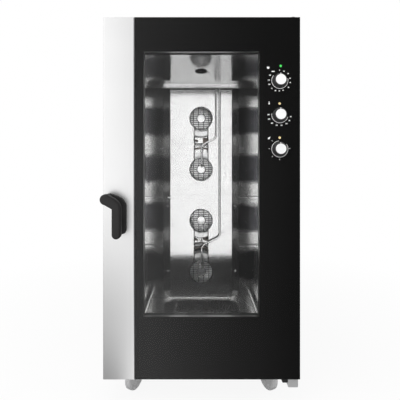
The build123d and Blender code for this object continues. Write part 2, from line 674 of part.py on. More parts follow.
def make_fan(fan_z):
    plate_depth = (FAN_BACK_DEPTH - FAN_PLATE, FAN_BACK_DEPTH)
    wheel = rod_y(FAN_R, 0, plate_depth, fan_z)
    front_depth = (FAN_FRONT_DEPTH, FAN_FRONT_DEPTH + FAN_PLATE)
    wheel += rod_y(FAN_R, 0, front_depth, fan_z) - rod_y(FAN_EYE_R, 0, front_depth, fan_z)
    blade_depth = (FAN_FRONT_DEPTH + 1, FAN_BACK_DEPTH - 1)
    blade = slab((FAN_BLADE_INNER_R, FAN_R - 1), blade_depth, (-FAN_BLADE_THICK / 2, FAN_BLADE_THICK / 2))
    for i in range(FAN_BLADES):
        wheel += Pos(0, 0, fan_z) * Rot(0, 360 / FAN_BLADES * i, 0) * blade
    wheel += rod_y(FAN_HUB_R, 0, (FAN_HUB_DEPTH, FAN_BACK_DEPTH), fan_z)
    wheel -= rod_y(SHAFT_R + HAIR, 0, (FAN_HUB_DEPTH - 1, FAN_BACK_DEPTH + 1), fan_z)
    shaft_end = INSULATION_BACK + GAP + MOTOR_FLANGE_THICK + MOTOR_LENGTH - SHAFT_R
    shaft = rod_y(SHAFT_R, 0, (FAN_HUB_DEPTH, shaft_end), fan_z)
    nut_depth = FAN_HUB_DEPTH - HAIR
    nut = facing(Pos(0, fan_z) * RegularPolygon(FAN_NUT_R, 6), nut_depth - FAN_NUT_LENGTH, FAN_NUT_LENGTH)
    return [wheel, shaft, nut]


def make_fan_motor(fan_z):
    front = INSULATION_BACK + GAP
    half = MOTOR_FLANGE / 2
    motor = slab((-half, half), (front, front + MOTOR_FLANGE_THICK), (fan_z - half, fan_z + half))
    body_start = front + MOTOR_FLANGE_THICK
    motor += rod_y(MOTOR_R, 0, (body_start, body_start + MOTOR_LENGTH), fan_z)
    pitch = MOTOR_LENGTH / MOTOR_RIB_COUNT
    for i in range(1, MOTOR_RIB_COUNT):
        rib = body_start + pitch * i
        groove = rod_y(MOTOR_R + 1, 0, (rib, rib + MOTOR_RIB), fan_z)
        motor -= groove - rod_y(MOTOR_R - MOTOR_RIB, 0, (rib - 1, rib + MOTOR_RIB + 1), fan_z)
    bore_end = body_start + MOTOR_LENGTH - SHAFT_R + 2
    return motor - rod_y(SHAFT_R + RUNNING, 0, (front - 1, bore_end), fan_z)


def element_point(angle, depth, fan_z):
    """Point on a heating ring, with the angle counted from straight down."""
    return (ELEMENT_RING_R * sin(radians(angle)), at(depth), fan_z - ELEMENT_RING_R * cos(radians(angle)))


def element_arc(start, end, depth, fan_z):
    """Open ring of heating tube round the fan."""
    section = Pos(ELEMENT_RING_R, 0, 0) * Rot(90, 0, 0) * Circle(ELEMENT_TUBE_R)
    arc = revolve(section, Axis.Z, end - start)
    return Pos(0, at(depth), fan_z) * Rot(0, 90 - start, 0) * Rot(90, 0, 0) * arc


def make_heating_element(fan_z):
    first = ELEMENT_START
    second = ELEMENT_START + ELEMENT_STEP
    last = 360 - ELEMENT_START
    wall = CHAMBER_REAR - HAIR
    element = element_arc(first, last, ELEMENT_FRONT_DEPTH, fan_z)
    element += element_arc(second, last, ELEMENT_REAR_DEPTH, fan_z)
    ends = ((first, ELEMENT_FRONT_DEPTH), (second, ELEMENT_REAR_DEPTH), (last, ELEMENT_FRONT_DEPTH))
    for angle, depth in ends:
        x, _, z = element_point(angle, depth, fan_z)
        end = ELEMENT_REAR_DEPTH if angle == last else wall
        element += rod_y(ELEMENT_TUBE_R, x, (depth, end), z)
        element += Pos(x, at(depth), z) * Sphere(ELEMENT_TUBE_R)
    x, _, z = element_point(last, ELEMENT_REAR_DEPTH, fan_z)
    element += Pos(x, at(ELEMENT_REAR_DEPTH), z) * Sphere(ELEMENT_TUBE_R)
    x1, _, z1 = element_point(first, 0, fan_z)
    x2, _, z2 = element_point(second, 0, fan_z)
    margin = 3 * ELEMENT_TUBE_R
    plate_z = (min(z1, z2) - margin, max(z1, z2) + margin)
    element += slab((x1 - margin, x2 + margin), (wall - ELEMENT_PLATE, wall), plate_z)
    return element


# Water, steam and drain


def valve_bottom():
    return INSULATION_TOP + GAP


def feed_x():
    return (PIPE_UPPER_X + PIPE_LOWER_X) / 2


def feed_z():
    return valve_bottom() + VALVE_BLOCK_HEIGHT / 2


def make_water_pipe(x, fan_z, turns):
    """Pipe from the valve down to a fan hub; its two turns are heights above a baffle joint."""
    joint_z = fan_z + FAN_PITCH / 2
    tip_z = fan_z + PIPE_TIP_ABOVE_HUB
    y = at(PIPE_DEPTH)
    points = [
        (x, y, valve_bottom() + VALVE_BLOCK_HEIGHT / 2),
        (x, y, joint_z + turns[0]),
        (PIPE_DROP_X, y, joint_z + turns[1]),
        (PIPE_DROP_X, y, tip_z),
        (PIPE_DROP_X, at(PIPE_TIP_DEPTH), tip_z),
    ]
    return pipe_along(points, [PIPE_BEND_R, PIPE_BEND_R, PIPE_ELBOW_R], PIPE_R, PIPE_R - 1)


def make_water_valves():
    x = (feed_x() - VALVE_BLOCK / 2, feed_x() + VALVE_BLOCK / 2)
    low = valve_bottom()
    depth = (PIPE_DEPTH - VALVE_BLOCK / 3, PIPE_DEPTH + VALVE_BLOCK / 3)
    block = slab(x, depth, (low, low + VALVE_BLOCK_HEIGHT))
    for pipe_x in (PIPE_UPPER_X, PIPE_LOWER_X):
        bore = (low - 1, low + VALVE_BLOCK_HEIGHT / 2 + 1)
        block -= rod_z(PIPE_R + HAIR, pipe_x, PIPE_DEPTH, bore)
        coil_x = pipe_x + (pipe_x - feed_x()) / 2
        coil_z = (low + VALVE_BLOCK_HEIGHT, low + VALVE_BLOCK_HEIGHT + VALVE_COIL_HEIGHT)
        block += rod_z(VALVE_COIL_R, coil_x, PIPE_DEPTH, coil_z)
    return block


def make_water_feed_pipe():
    start = PIPE_DEPTH + VALVE_BLOCK / 3 + GAP
    nut = BODY_DEPTH - SHEET - GAP
    end = BODY_DEPTH + INLET_THREAD_LENGTH
    x, z = feed_x(), feed_z()
    pipe = rod_y(FEED_PIPE_R, x, (start, nut), z)
    pipe += rod_y(INLET_NUT_R, x, (nut - INLET_NUT, nut), z)
    pipe += rod_y(INLET_NECK_R, x, (nut - 1, end), z)
    pipe += rod_y(INLET_THREAD_R, x, (BODY_DEPTH + COLLAR_START, end), z)
    return pipe - rod_y(FEED_PIPE_R - 1.5, x, (start - 1, end + 1), z)


def make_steam_vent_pipe():
    points = [
        (0, at(VENT_DEPTH), CHAMBER_TOP),
        (0, at(VENT_DEPTH), VENT_RUN_Z),
        (0, at(CHIMNEY_DEPTH), VENT_RUN_Z),
        (0, at(CHIMNEY_DEPTH), BODY_TOP + CHIMNEY_RISE),
    ]
    pipe = pipe_along(points, [VENT_BEND_R, VENT_BEND_R], VENT_R + VENT_WALL, VENT_R)
    collar_z = (BODY_TOP + COLLAR_START, BODY_TOP + CHIMNEY_RISE)
    collar = rod_z(VENT_R + VENT_WALL + VENT_COLLAR, 0, CHIMNEY_DEPTH, collar_z)
    pipe += collar - rod_z(VENT_R + 1, 0, CHIMNEY_DEPTH, (BODY_TOP, BODY_TOP + CHIMNEY_RISE + 1))
    reach = VENT_R + VENT_WALL + 5
    return pipe - rod_x(DAMPER_SHAFT_R + RUNNING, (-reach, reach), DAMPER_DEPTH, VENT_RUN_Z)


def make_vent_damper():
    radius = VENT_R - DAMPER_CLEAR
    depth = (DAMPER_DEPTH - DAMPER_THICK / 2, DAMPER_DEPTH + DAMPER_THICK / 2)
    flap = rod_y(radius, 0, depth, VENT_RUN_Z)
    shaft_x = (-VENT_R - VENT_WALL - DAMPER_MOTOR_SIZE / 2, VENT_R + VENT_WALL)
    return flap + rod_x(DAMPER_SHAFT_R, shaft_x, DAMPER_DEPTH, VENT_RUN_Z)


def make_damper_motor():
    start = -VENT_R - VENT_WALL - GAP
    half = DAMPER_MOTOR_SIZE / 2
    depth = (DAMPER_DEPTH - half, DAMPER_DEPTH + half)
    motor = slab((start - DAMPER_MOTOR_SIZE, start), depth, (VENT_RUN_Z - half, VENT_RUN_Z + half))
    return motor - rod_x(DAMPER_SHAFT_R + RUNNING, (start - half - 1, start + 1), DAMPER_DEPTH, VENT_RUN_Z)


def make_drain_pipe():
    outer = DRAIN_R + DRAIN_WALL
    top = CHAMBER_Z - SHEET - GAP
    corner = (0, at(DRAIN_DEPTH), DRAIN_RUN_Z)
    points = [(0, at(DRAIN_DEPTH), top), corner, (0, at(BODY_DEPTH + REAR_REACH), DRAIN_RUN_Z)]
    pipe = pipe_along(points, [DRAIN_BEND_R], outer, DRAIN_R)
    collar = rod_y(outer + DRAIN_COLLAR, 0, (BODY_DEPTH + COLLAR_START, BODY_DEPTH + REAR_REACH), DRAIN_RUN_Z)
    pipe += collar - rod_y(DRAIN_R + 1, 0, (BODY_DEPTH, BODY_DEPTH + REAR_REACH + 1), DRAIN_RUN_Z)
    flange = rod_z(STRAINER_R, 0, DRAIN_DEPTH, (top - FRAME_SHEET, top))
    return pipe + (flange - rod_z(DRAIN_R, 0, DRAIN_DEPTH, (top - 5, top + 1)))


def make_drain_strainer():
    z = CHAMBER_Z + GAP
    plate = rod_z(STRAINER_R, 0, DRAIN_DEPTH, (z, z + STRAINER_THICK))
    skirt_r = DRAIN_R - GAP
    skirt = rod_z(skirt_r, 0, DRAIN_DEPTH, (z - STRAINER_SKIRT, z + 1))
    skirt -= rod_z(skirt_r - SHEET, 0, DRAIN_DEPTH, (z - STRAINER_SKIRT - 1, z + 2))
    strainer = plate + skirt
    for i in range(STRAINER_HOLES):
        angle = radians(360 / STRAINER_HOLES * i)
        x = STRAINER_R / 2 * sin(angle)
        depth = DRAIN_DEPTH + STRAINER_R / 2 * cos(angle)
        strainer -= rod_z(STRAINER_HOLE_R, x, depth, (z - 1, z + STRAINER_THICK + 1))
    return strainer


# Electrical parts


def make_power_contactors():
    start = INSULATION_OUT + GAP
    tray = slab((start, start + TRAY_THICK), TRAY_DEPTHS, TRAY_HEIGHTS)
    parts = [tray]
    width, length, height = CONTACTOR_SIZE
    x = start + TRAY_THICK + HAIR
    mid_depth = sum(TRAY_DEPTHS) / 2
    depth = (mid_depth - length / 2, mid_depth + length / 2)
    for i in range(CONTACTOR_COUNT):
        z = sum(TRAY_HEIGHTS) / 2 + CONTACTOR_PITCH * (i - (CONTACTOR_COUNT - 1) / 2)
        parts.append(slab((x, x + width), depth, (z - height / 2, z + height / 2)))
    return parts


def make_cable_gland():
    inside = BODY_DEPTH - SHEET - GAP
    outside = BODY_DEPTH + GAP
    end = BODY_DEPTH + GLAND_OUTSIDE
    gland = rod_y(GLAND_THREAD_R, GLAND_X, (inside - GLAND_NUT - 4, end), GLAND_Z)
    for depth in (inside - GLAND_NUT, outside, end - GLAND_NUT):
        hexagon = Pos(GLAND_X, GLAND_Z) * RegularPolygon(GLAND_NUT_R, 6)
        gland += facing(hexagon, depth, GLAND_NUT)
    return gland - rod_y(GLAND_BORE_R, GLAND_X, (inside - GLAND_NUT - 5, end + 1), GLAND_Z)


def make_temperature_probe():
    z = JOINT_ZS[1]
    probe = rod_y(PROBE_R, PROBE_X, (CHAMBER_REAR - PROBE_LENGTH, CHAMBER_REAR - HAIR), z)
    return probe + rod_y(PROBE_PLATE_R, PROBE_X, (CHAMBER_REAR - HAIR - FRAME_SHEET, CHAMBER_REAR - HAIR), z)


# Hinges and latch strike


def make_lower_hinge_bracket():
    top = BODY_Z - 2 * GAP
    left = HALF_WIDTH - 7.5 - LOWER_BRACKET_WIDTH
    x = (left, left + LOWER_BRACKET_WIDTH)
    z = (top - LOWER_BRACKET_DROP, top)
    bracket = slab(x, (BRACKET_FRONT, LOWER_BRACKET_REACH), z)
    bracket = fillet(bracket.edges().filter_by(Axis.Y).group_by(Axis.Z)[0], 5)
    bracket -= slab(
        (x[0] + BRACKET_WALL, x[1] - BRACKET_WALL),
        (BRACKET_FRONT + BRACKET_WALL, LOWER_BRACKET_REACH + 1),
        (z[0] - 1, z[1] - BRACKET_WALL),
    )
    tail = (LOWER_BRACKET_REACH - 1, LOWER_BRACKET_TAIL)
    bracket += slab((x[0] + 8, x[1]), tail, (top - BRACKET_WALL, top))
    return bracket + rod_z(HINGE_PIN_R, HINGE_X, HINGE_DEPTH, (top - 1, BODY_Z + HINGE_PIN_LENGTH))


def make_cable_sleeve():
    top = BODY_Z - 2 * GAP
    right = HALF_WIDTH - 7.5 - LOWER_BRACKET_WIDTH - GAP
    depth = (BRACKET_FRONT, LOWER_BRACKET_REACH)
    sleeve = slab((right - SLEEVE_WIDTH, right), depth, (top - SLEEVE_DROP, top))
    return fillet(sleeve.edges().filter_by(Axis.Y).group_by(Axis.Z)[0], 6)


def make_upper_hinge_bracket():
    low = DOOR_TOP + 2 * GAP
    half = UPPER_BRACKET_WIDTH / 2
    x = (HINGE_X - half, HINGE_X + half)
    z = (low, low + UPPER_BRACKET_THICK)
    arm = slab(x, (BRACKET_FRONT, UPPER_BRACKET_TAIL), z)
    arm = fillet(arm.edges().filter_by(Axis.Z).group_by(Axis.Y)[0], half - 1)
    return arm + rod_z(HINGE_PIN_R, HINGE_X, HINGE_DEPTH, (DOOR_TOP - HINGE_PIN_LENGTH, low + 1))


def make_latch_strike():
    x = (HANDLE_X - STRIKE_WIDTH / 2, HANDLE_X + STRIKE_WIDTH / 2)
    hook_tip = HANDLE_PIVOT_Z - HOOK_LENGTH
    web_top = hook_tip - 6
    web_z = (web_top - STRIKE_LIP_THICK, web_top)
    strike = slab(x, (STRIKE_LIP_DEPTH, FRAME_DEPTH), web_z)
    lip = (STRIKE_LIP_DEPTH, STRIKE_LIP_DEPTH + STRIKE_LIP_THICK)
    strike += slab(x, lip, (web_z[0], hook_tip + STRIKE_LAP))
    foot_z = (web_z[0] - STRIKE_WIDTH, web_z[0] + 1)
    foot = slab(x, (FRAME_DEPTH - STRIKE_LIP_THICK, FRAME_DEPTH), foot_z)
    for side in (-1, 1):
        screw_x = HANDLE_X + side * STRIKE_WIDTH / 4
        hole_z = foot_z[0] + STRIKE_WIDTH / 2
        foot -= rod_y(SCREW_R + GAP, screw_x, (FRAME_DEPTH - 10, FRAME_DEPTH + 1), hole_z)
    return strike + foot


# Door


def door_z(inset=0.0):
    return (BODY_Z + inset, DOOR_TOP - inset)


def knob_holes(radius, depth):
    """Round bars through the glass at the knob shafts."""
    return [rod_y(radius, KNOB_X, depth, z) for z in KNOB_ZS]


def lamp_places():
    places = [(KNOB_X + TOP_LAMP_OFFSET, KNOB_ZS[0] + TOP_LAMP_ABOVE_KNOB)]
    return places + [(KNOB_X, z + LAMP_ABOVE_KNOB) for z in KNOB_ZS[1:]]


def make_door_frame():
    left = SHEET + GAP - HALF_WIDTH
    back = (DOOR_THICK - SHEET, DOOR_THICK)
    front = GLASS_THICK + HAIR + PRINT_THICK + GAP
    frame = slab((left, HALF_WIDTH), back, door_z())
    low, high = door_z()
    wall_depth = (front, DOOR_THICK)
    for z in ((low, low + FRAME_SHEET), (high - FRAME_SHEET, high)):
        frame += slab((left, HALF_WIDTH), wall_depth, z)
    frame += slab((left, left + FRAME_SHEET), wall_depth, door_z())
    frame += slab((HALF_WIDTH - FRAME_SHEET, HALF_WIDTH), wall_depth, door_z())
    rib_x = WINDOW_WIDTH / 2 + INNER_FRAME_LAP + INNER_GLASS_LAP
    for x in ((-rib_x - FRAME_SHEET, -rib_x), (rib_x, rib_x + FRAME_SHEET)):
        frame += slab(x, wall_depth, door_z())
    open_half = WINDOW_WIDTH / 2 + INNER_FRAME_OPEN
    open_z = (WINDOW_MID_Z - WINDOW_HEIGHT / 2 - INNER_FRAME_OPEN, WINDOW_TOP + INNER_FRAME_OPEN)
    frame -= slab((-open_half, open_half), (back[0] - 1, back[1] + 1), open_z)
    for z in ((low, low + HINGE_PIN_LENGTH + 4), (high - HINGE_PIN_LENGTH - 4, high)):
        frame += rod_z(HINGE_BUSH_R, HINGE_X, HINGE_DEPTH, z)
    for z in ((low - 1, low + HINGE_PIN_LENGTH + 2), (high - HINGE_PIN_LENGTH - 2, high + 1)):
        frame -= rod_z(HINGE_PIN_R + RUNNING, HINGE_X, HINGE_DEPTH, z)
    return frame - rod_y(SPINDLE_R + RUNNING, HANDLE_X, (back[0] - 1, back[1] + 1), HANDLE_PIVOT_Z)


def make_outer_glass():
    pane = slab((GLASS_LEFT + GAP, HALF_WIDTH), (0, GLASS_THICK), door_z())
    for hole in knob_holes(KNOB_SHAFT_R + 2, (-1, GLASS_THICK + 1)):
        pane -= hole
    return pane


def make_glass_print():
    depth = (GLASS_THICK + HAIR, GLASS_THICK + HAIR + PRINT_THICK)
    sheet = slab((GLASS_LEFT + GAP, HALF_WIDTH), depth, door_z())
    cut = (depth[0] - 1, depth[1] + 1)
    half = WINDOW_WIDTH / 2
    sheet -= slab((-half, half), cut, (WINDOW_TOP - WINDOW_HEIGHT, WINDOW_TOP))
    for hole in knob_holes(KNOB_SHAFT_R + 2, cut):
        sheet -= hole
    for x, z in lamp_places():
        sheet -= rod_y(LAMP_R, x, cut, z)
    return sheet


def make_door_stile():
    left, right = -HALF_WIDTH, GLASS_LEFT
    depth = DOOR_THICK - GAP
    outer = slab((left, right), (0, depth), door_z())
    outer = fillet(outer.edges().filter_by(Axis.Z).group_by(Axis.Y)[0], STILE_EDGE_R)
    inner = slab((left + SHEET, right - SHEET), (SHEET, depth + 1), (BODY_Z - 1, DOOR_TOP + 1))
    inner = fillet(inner.edges().filter_by(Axis.Z).group_by(Axis.Y)[0], STILE_EDGE_R - SHEET)
    stile = outer - inner
    beside_glass = (left + STILE_WIDTH / 2, right + 1)
    stile -= slab(beside_glass, (GLASS_THICK, depth + 1), (BODY_Z - 1, DOOR_TOP + 1))
    return stile - rod_y(SPINDLE_R + RUNNING, HANDLE_X, (-1, SHEET + 1), HANDLE_PIVOT_Z)


def make_window_spacer():
    front = GLASS_THICK + HAIR + PRINT_THICK + GAP
    return window_ring(GAP, SPACER_WALL, (front, SPACER_DEPTH))


def make_window_seal():
    return window_ring(GAP, SEAL_WIDTH, (SPACER_DEPTH + GAP, INNER_GLASS_DEPTH - GAP))


def make_inner_glass():
    half_x = WINDOW_WIDTH / 2 + INNER_GLASS_LAP
    half_z = WINDOW_HEIGHT / 2 + INNER_GLASS_LAP
    depth = (INNER_GLASS_DEPTH, INNER_GLASS_DEPTH + INNER_GLASS_THICK)
    return slab((-half_x, half_x), depth, (WINDOW_MID_Z - half_z, WINDOW_MID_Z + half_z))


def make_inner_glass_frame():
    depth = (INNER_GLASS_DEPTH + INNER_GLASS_THICK + GAP, DOOR_THICK - SHEET - GAP)
    frame = window_ring(INNER_FRAME_OPEN, INNER_FRAME_LAP, depth)
    lip_depth = (INNER_GLASS_DEPTH, depth[1])
    return frame + window_ring(INNER_GLASS_LAP + GAP, INNER_FRAME_LAP, lip_depth)


def make_control_board():
    front = GLASS_THICK + HAIR + PRINT_THICK + GAP
    board_depth = (front + DIAL_SWITCH_DEPTH, front + DIAL_SWITCH_DEPTH + BOARD_THICK)
    z = (KNOB_ZS[-1] - BOARD_MARGIN, KNOB_ZS[0] + TOP_LAMP_ABOVE_KNOB + BOARD_MARGIN / 2)
    board = slab((KNOB_X - BOARD_WIDTH / 2, KNOB_X + BOARD_WIDTH / 2), board_depth, z)
    for knob_z in KNOB_ZS:
        switch_depth = (front, board_depth[0] + 1)
        board += rod_y(DIAL_SWITCH_R, KNOB_X, switch_depth, knob_z)
    for hole in knob_holes(KNOB_SHAFT_R + RUNNING, (front - 1, board_depth[1] + 1)):
        board -= hole
    return board


def make_indicator_lamps():
    front = GLASS_THICK + HAIR
    back = GLASS_THICK + HAIR + PRINT_THICK + GAP + DIAL_SWITCH_DEPTH - GAP
    lamps = []
    for x, z in lamp_places():
        lamps.append(rod_y(LAMP_R - HAIR, x, (front, back), z))
    return lamps


def make_knob(knob_z):
    base = -GAP
    skirt_end = base - KNOB_SKIRT_HEIGHT
    skirt = Cone(KNOB_BASE_R, KNOB_NECK_R, KNOB_SKIRT_HEIGHT)
    for i in range(KNOB_FLUTES):
        turn = Rot(0, 0, 360 / KNOB_FLUTES * i)
        lean = (KNOB_BASE_R - KNOB_NECK_R) / KNOB_SKIRT_HEIGHT
        groove = Pos((KNOB_BASE_R + KNOB_NECK_R) / 2, 0, 0) * Rot(0, -lean * 57.3, 0)
        skirt -= turn * groove * Cylinder(KNOB_FLUTE_R, 2 * KNOB_SKIRT_HEIGHT)
    middle = at(base - KNOB_SKIRT_HEIGHT / 2)
    knob = Pos(KNOB_X, middle, knob_z) * Rot(90, 0, 0) * skirt
    cap = rod_y(KNOB_CAP_R, KNOB_X, (skirt_end - KNOB_CAP_HEIGHT, skirt_end), knob_z)
    cap = fillet(cap.edges().group_by(Axis.Y)[0], KNOB_CAP_HEIGHT / 3)
    shaft_end = GLASS_THICK + HAIR + PRINT_THICK + GAP + DIAL_SWITCH_DEPTH
    shaft = rod_y(KNOB_SHAFT_R, KNOB_X, (base - 1, shaft_end), knob_z)
    return knob + cap + shaft


# Handle and latch


def handle_outline():
    """Hooked outline of the handle, as seen from the front."""
    corner_z = HANDLE_PIVOT_Z - HANDLE_BEND_R
    grip_x = HANDLE_X + HANDLE_BEND_R
    end_z = corner_z - HANDLE_GRIP_LENGTH
    bend = Circle(HANDLE_BEND_R + HANDLE_HALF_WIDTH) - Circle(HANDLE_BEND_R - HANDLE_HALF_WIDTH)
    quarter = bend & (Pos(HANDLE_BEND_R, HANDLE_BEND_R) * Rectangle(2 * HANDLE_BEND_R, 2 * HANDLE_BEND_R))
    outline = Pos(HANDLE_X, corner_z) * quarter
    outline += Pos(HANDLE_X, HANDLE_PIVOT_Z) * Circle(HANDLE_HALF_WIDTH)
    outline += Pos(grip_x, (corner_z + end_z) / 2) * Rectangle(2 * HANDLE_HALF_WIDTH, HANDLE_GRIP_LENGTH)
    return outline + Pos(grip_x, end_z) * Circle(HANDLE_HALF_WIDTH)


def make_handle_base():
    base = facing(handle_outline(), -HANDLE_BASE_THICK - HAIR, HANDLE_BASE_THICK)
    base = chamfer(base.faces().sort_by(Axis.Y)[0].edges(), 2)
    return base - rod_y(SPINDLE_R + RUNNING, HANDLE_X, (-HANDLE_BASE_THICK - 1, 1), HANDLE_PIVOT_Z)


def make_handle_lever():
    lever = facing(handle_outline(), -HANDLE_REACH, HANDLE_LEVER_THICK)
    lever = fillet(lever.faces().sort_by(Axis.Y)[0].edges(), HANDLE_ROUND)
    lever = chamfer(lever.faces().sort_by(Axis.Y)[-1].edges(), HANDLE_ROUND / 2)
    boss_depth = (HANDLE_LEVER_THICK - HANDLE_REACH - 10, -HANDLE_BASE_THICK - GAP)
    lever += rod_y(HANDLE_HALF_WIDTH - 3, HANDLE_X, boss_depth, HANDLE_PIVOT_Z)
    bore = (-HANDLE_REACH + HANDLE_LEVER_THICK / 2, 0)
    return lever - rod_y(SPINDLE_R + HAIR, HANDLE_X, bore, HANDLE_PIVOT_Z)


def make_latch_hook():
    spindle = (-HANDLE_REACH + HANDLE_LEVER_THICK / 2 + GAP, HOOK_DEPTH + HOOK_THICK)
    hook = rod_y(SPINDLE_R, HANDLE_X, spindle, HANDLE_PIVOT_Z)
    depth = (HOOK_DEPTH, HOOK_DEPTH + HOOK_THICK)
    hook += rod_y(2 * SPINDLE_R, HANDLE_X, depth, HANDLE_PIVOT_Z)
    x = (HANDLE_X - HOOK_HALF_WIDTH, HANDLE_X + HOOK_HALF_WIDTH)
    return hook + slab(x, depth, (HANDLE_PIVOT_Z - HOOK_LENGTH, HANDLE_PIVOT_Z))


# Castors


def castor_places():
    places = []
    for row in (CASTOR_FRONT_DEPTH, CASTOR_REAR_DEPTH):
        places += [(-CASTOR_X, row), (CASTOR_X, row)]
    return places


def castor_bolts(x, row):
    half_x, half_depth = CASTOR_BOLT_SPAN[0] / 2, CASTOR_BOLT_SPAN[1] / 2
    return [(x + i * half_x, row + j * half_depth) for i in (-1, 1) for j in (-1, 1)]


def castor_turn(x, row):
    """Swivel angle at rest; the front pair is turned in towards the middle."""
    turn = CASTOR_TURN if row == CASTOR_FRONT_DEPTH else CASTOR_TURN / 2
    return turn if x > 0 else -turn


def make_castor_plate(x, row):
    top = CASTOR_HEIGHT - HAIR
    half_x, half_depth = CASTOR_PLATE[0] / 2, CASTOR_PLATE[1] / 2
    low = top - CASTOR_PLATE_THICK
    plate = slab((x - half_x, x + half_x), (row - half_depth, row + half_depth), (low, top))
    for bolt_x, bolt_depth in castor_bolts(x, row):
        plate -= rod_z(CASTOR_BOLT_R, bolt_x, bolt_depth, (low - 1, top + 1))
    plate += rod_z(SWIVEL_BOSS_R, x, row, (SWIVEL_Z, low + 1))
    plate += rod_z(SWIVEL_PIN_R, x, row, (CROWN_Z - FORK_THICK, low + 1))
    return plate


def make_castor_fork():
    """Fork about its own swivel axis, trailing towards +Y."""
    crown = Pos(0, 0, CROWN_Z - FORK_THICK / 2) * Cylinder(FORK_CROWN_R, FORK_THICK)
    leg_x = HUB_LENGTH / 2 + GAP
    outline = [
        (-FORK_LEG_TOP / 2, CROWN_Z - 1),
        (TRAIL - FORK_LEG_FOOT, WHEEL_R - FORK_LEG_FOOT / 2),
        (TRAIL - FORK_LEG_FOOT / 2, WHEEL_R - FORK_LEG_FOOT),
        (TRAIL + FORK_LEG_FOOT / 2, WHEEL_R - FORK_LEG_FOOT),
        (TRAIL + FORK_LEG_FOOT, WHEEL_R),
        (FORK_LEG_TOP / 2 + 6, CROWN_Z - 1),
    ]
    leg = Plane.YZ * extrude(Polygon(*outline, align=None), FORK_THICK)
    bridge = Box(2 * (leg_x + FORK_THICK), FORK_LEG_TOP, FORK_THICK)
    fork = crown + Pos(0, 3, CROWN_Z - FORK_THICK / 2) * bridge
    fork += Pos(leg_x, 0, 0) * leg + Pos(-leg_x - FORK_THICK, 0, 0) * leg
    half = leg_x + FORK_THICK
    fork += Pos(0, TRAIL, WHEEL_R) * Rot(0, 90, 0) * Cylinder(AXLE_R, 2 * half)
    for side in (-1, 1):
        head = Pos(side * (half + AXLE_HEAD / 2), TRAIL, WHEEL_R) * Rot(0, 90, 0)
        fork += head * Cylinder(AXLE_HEAD_R, AXLE_HEAD)
    return fork - Pos(0, 0, CROWN_Z) * Cylinder(SWIVEL_PIN_R + RUNNING, 4 * FORK_THICK)


def make_castor_wheel():
    wheel = Rot(0, 90, 0) * Cylinder(WHEEL_R, WHEEL_WIDTH)
    wheel = fillet(wheel.edges(), WHEEL_ROUND)
    dish = Rot(0, 90, 0) * Cylinder(WHEEL_R * 0.7, 6)
    for side in (-1, 1):
        wheel -= Pos(side * WHEEL_WIDTH / 2, 0, 0) * dish
    wheel += Rot(0, 90, 0) * Cylinder(2.4 * AXLE_R, HUB_LENGTH)
    wheel -= Rot(0, 90, 0) * Cylinder(AXLE_R + RUNNING, HUB_LENGTH + 2)
    return Pos(0, TRAIL, WHEEL_R) * wheel


def castor_location(x, row):
    return Pos(x, at(row), 0) * Rot(0, 0, castor_turn(x, row))


def save(name, shape):
    """Write one node; a list becomes a group of separate solids."""
    if isinstance(shape, (list, tuple)):
        shape = Compound(children=[solid for item in shape for solid in item.solids()])
    export_step(shape, f"parts/{name}.step")


def main():
    os.makedirs("parts", exist_ok=True)
    nodes = {
        "base_frame": make_base_frame(),
        "left_side_panel": make_side_panel(-1),
        "right_side_panel": make_side_panel(1),
        "top_panel": make_top_panel(),
        "rear_panel": make_rear_panel(),
        "front_frame": make_front_frame(),
        "oven_chamber": make_oven_chamber(),
        "insulation": make_insulation(),
        "door_gasket": make_door_gasket(),
        "baffle_panels": make_baffle_panels(),
        "baffle_supports": make_baffle_supports(),
        "baffle_screws": make_baffle_screws(),
        "fan_guards": [make_fan_guard(i) for i in range(FAN_COUNT)],
        "heating_elements": [make_heating_element(z) for z in FAN_ZS],
        "fan_motors": [make_fan_motor(z) for z in FAN_ZS],
        "water_pipe_upper": make_water_pipe(PIPE_UPPER_X, FAN_ZS[1], PIPE_UPPER_TURNS),
        "water_pipe_lower": make_water_pipe(PIPE_LOWER_X, FAN_ZS[3], PIPE_LOWER_TURNS),
        "water_valves": make_water_valves(),
        "water_feed_pipe": make_water_feed_pipe(),
        "steam_vent_pipe": make_steam_vent_pipe(),
        "vent_damper": make_vent_damper(),
        "damper_motor": make_damper_motor(),
        "drain_pipe": make_drain_pipe(),
        "drain_strainer": make_drain_strainer(),
        "power_contactors": make_power_contactors(),
        "cable_gland": make_cable_gland(),
        "temperature_probe": make_temperature_probe(),
        "upper_hinge_bracket": make_upper_hinge_bracket(),
        "lower_hinge_bracket": make_lower_hinge_bracket(),
        "cable_sleeve": make_cable_sleeve(),
        "latch_strike": make_latch_strike(),
        "door_frame": make_door_frame(),
        "door_outer_glass": make_outer_glass(),
        "glass_print": make_glass_print(),
        "door_stile": make_door_stile(),
        "window_spacer": make_window_spacer(),
        "window_seal": make_window_seal(),
        "inner_glass": make_inner_glass(),
        "inner_glass_frame": make_inner_glass_frame(),
        "control_board": make_control_board(),
        "indicator_lamps": make_indicator_lamps(),
        "handle_base": make_handle_base(),
        "handle_lever": make_handle_lever(),
        "latch_hook": make_latch_hook(),
        "castor_plates": [make_castor_plate(x, row) for x, row in castor_places()],
    }
    for i, z in enumerate(FAN_ZS):
        nodes[f"fan_{i + 1}"] = make_fan(z)
    for name, z in zip(("mode_knob", "temperature_knob", "steam_knob"), KNOB_ZS):
        nodes[name] = make_knob(z)
    fork, wheel = make_castor_fork(), make_castor_wheel()
    names = ("front_left", "front_right", "rear_left", "rear_right")
    for name, (x, row) in zip(names, castor_places()):
        nodes[f"castor_fork_{name}"] = castor_location(x, row) * fork
        nodes[f"castor_wheel_{name}"] = castor_location(x, row) * wheel
    for name, shape in nodes.items():
        save(name, shape)
    print(len(nodes), "nodes")


if __name__ == "__main__":
    main()
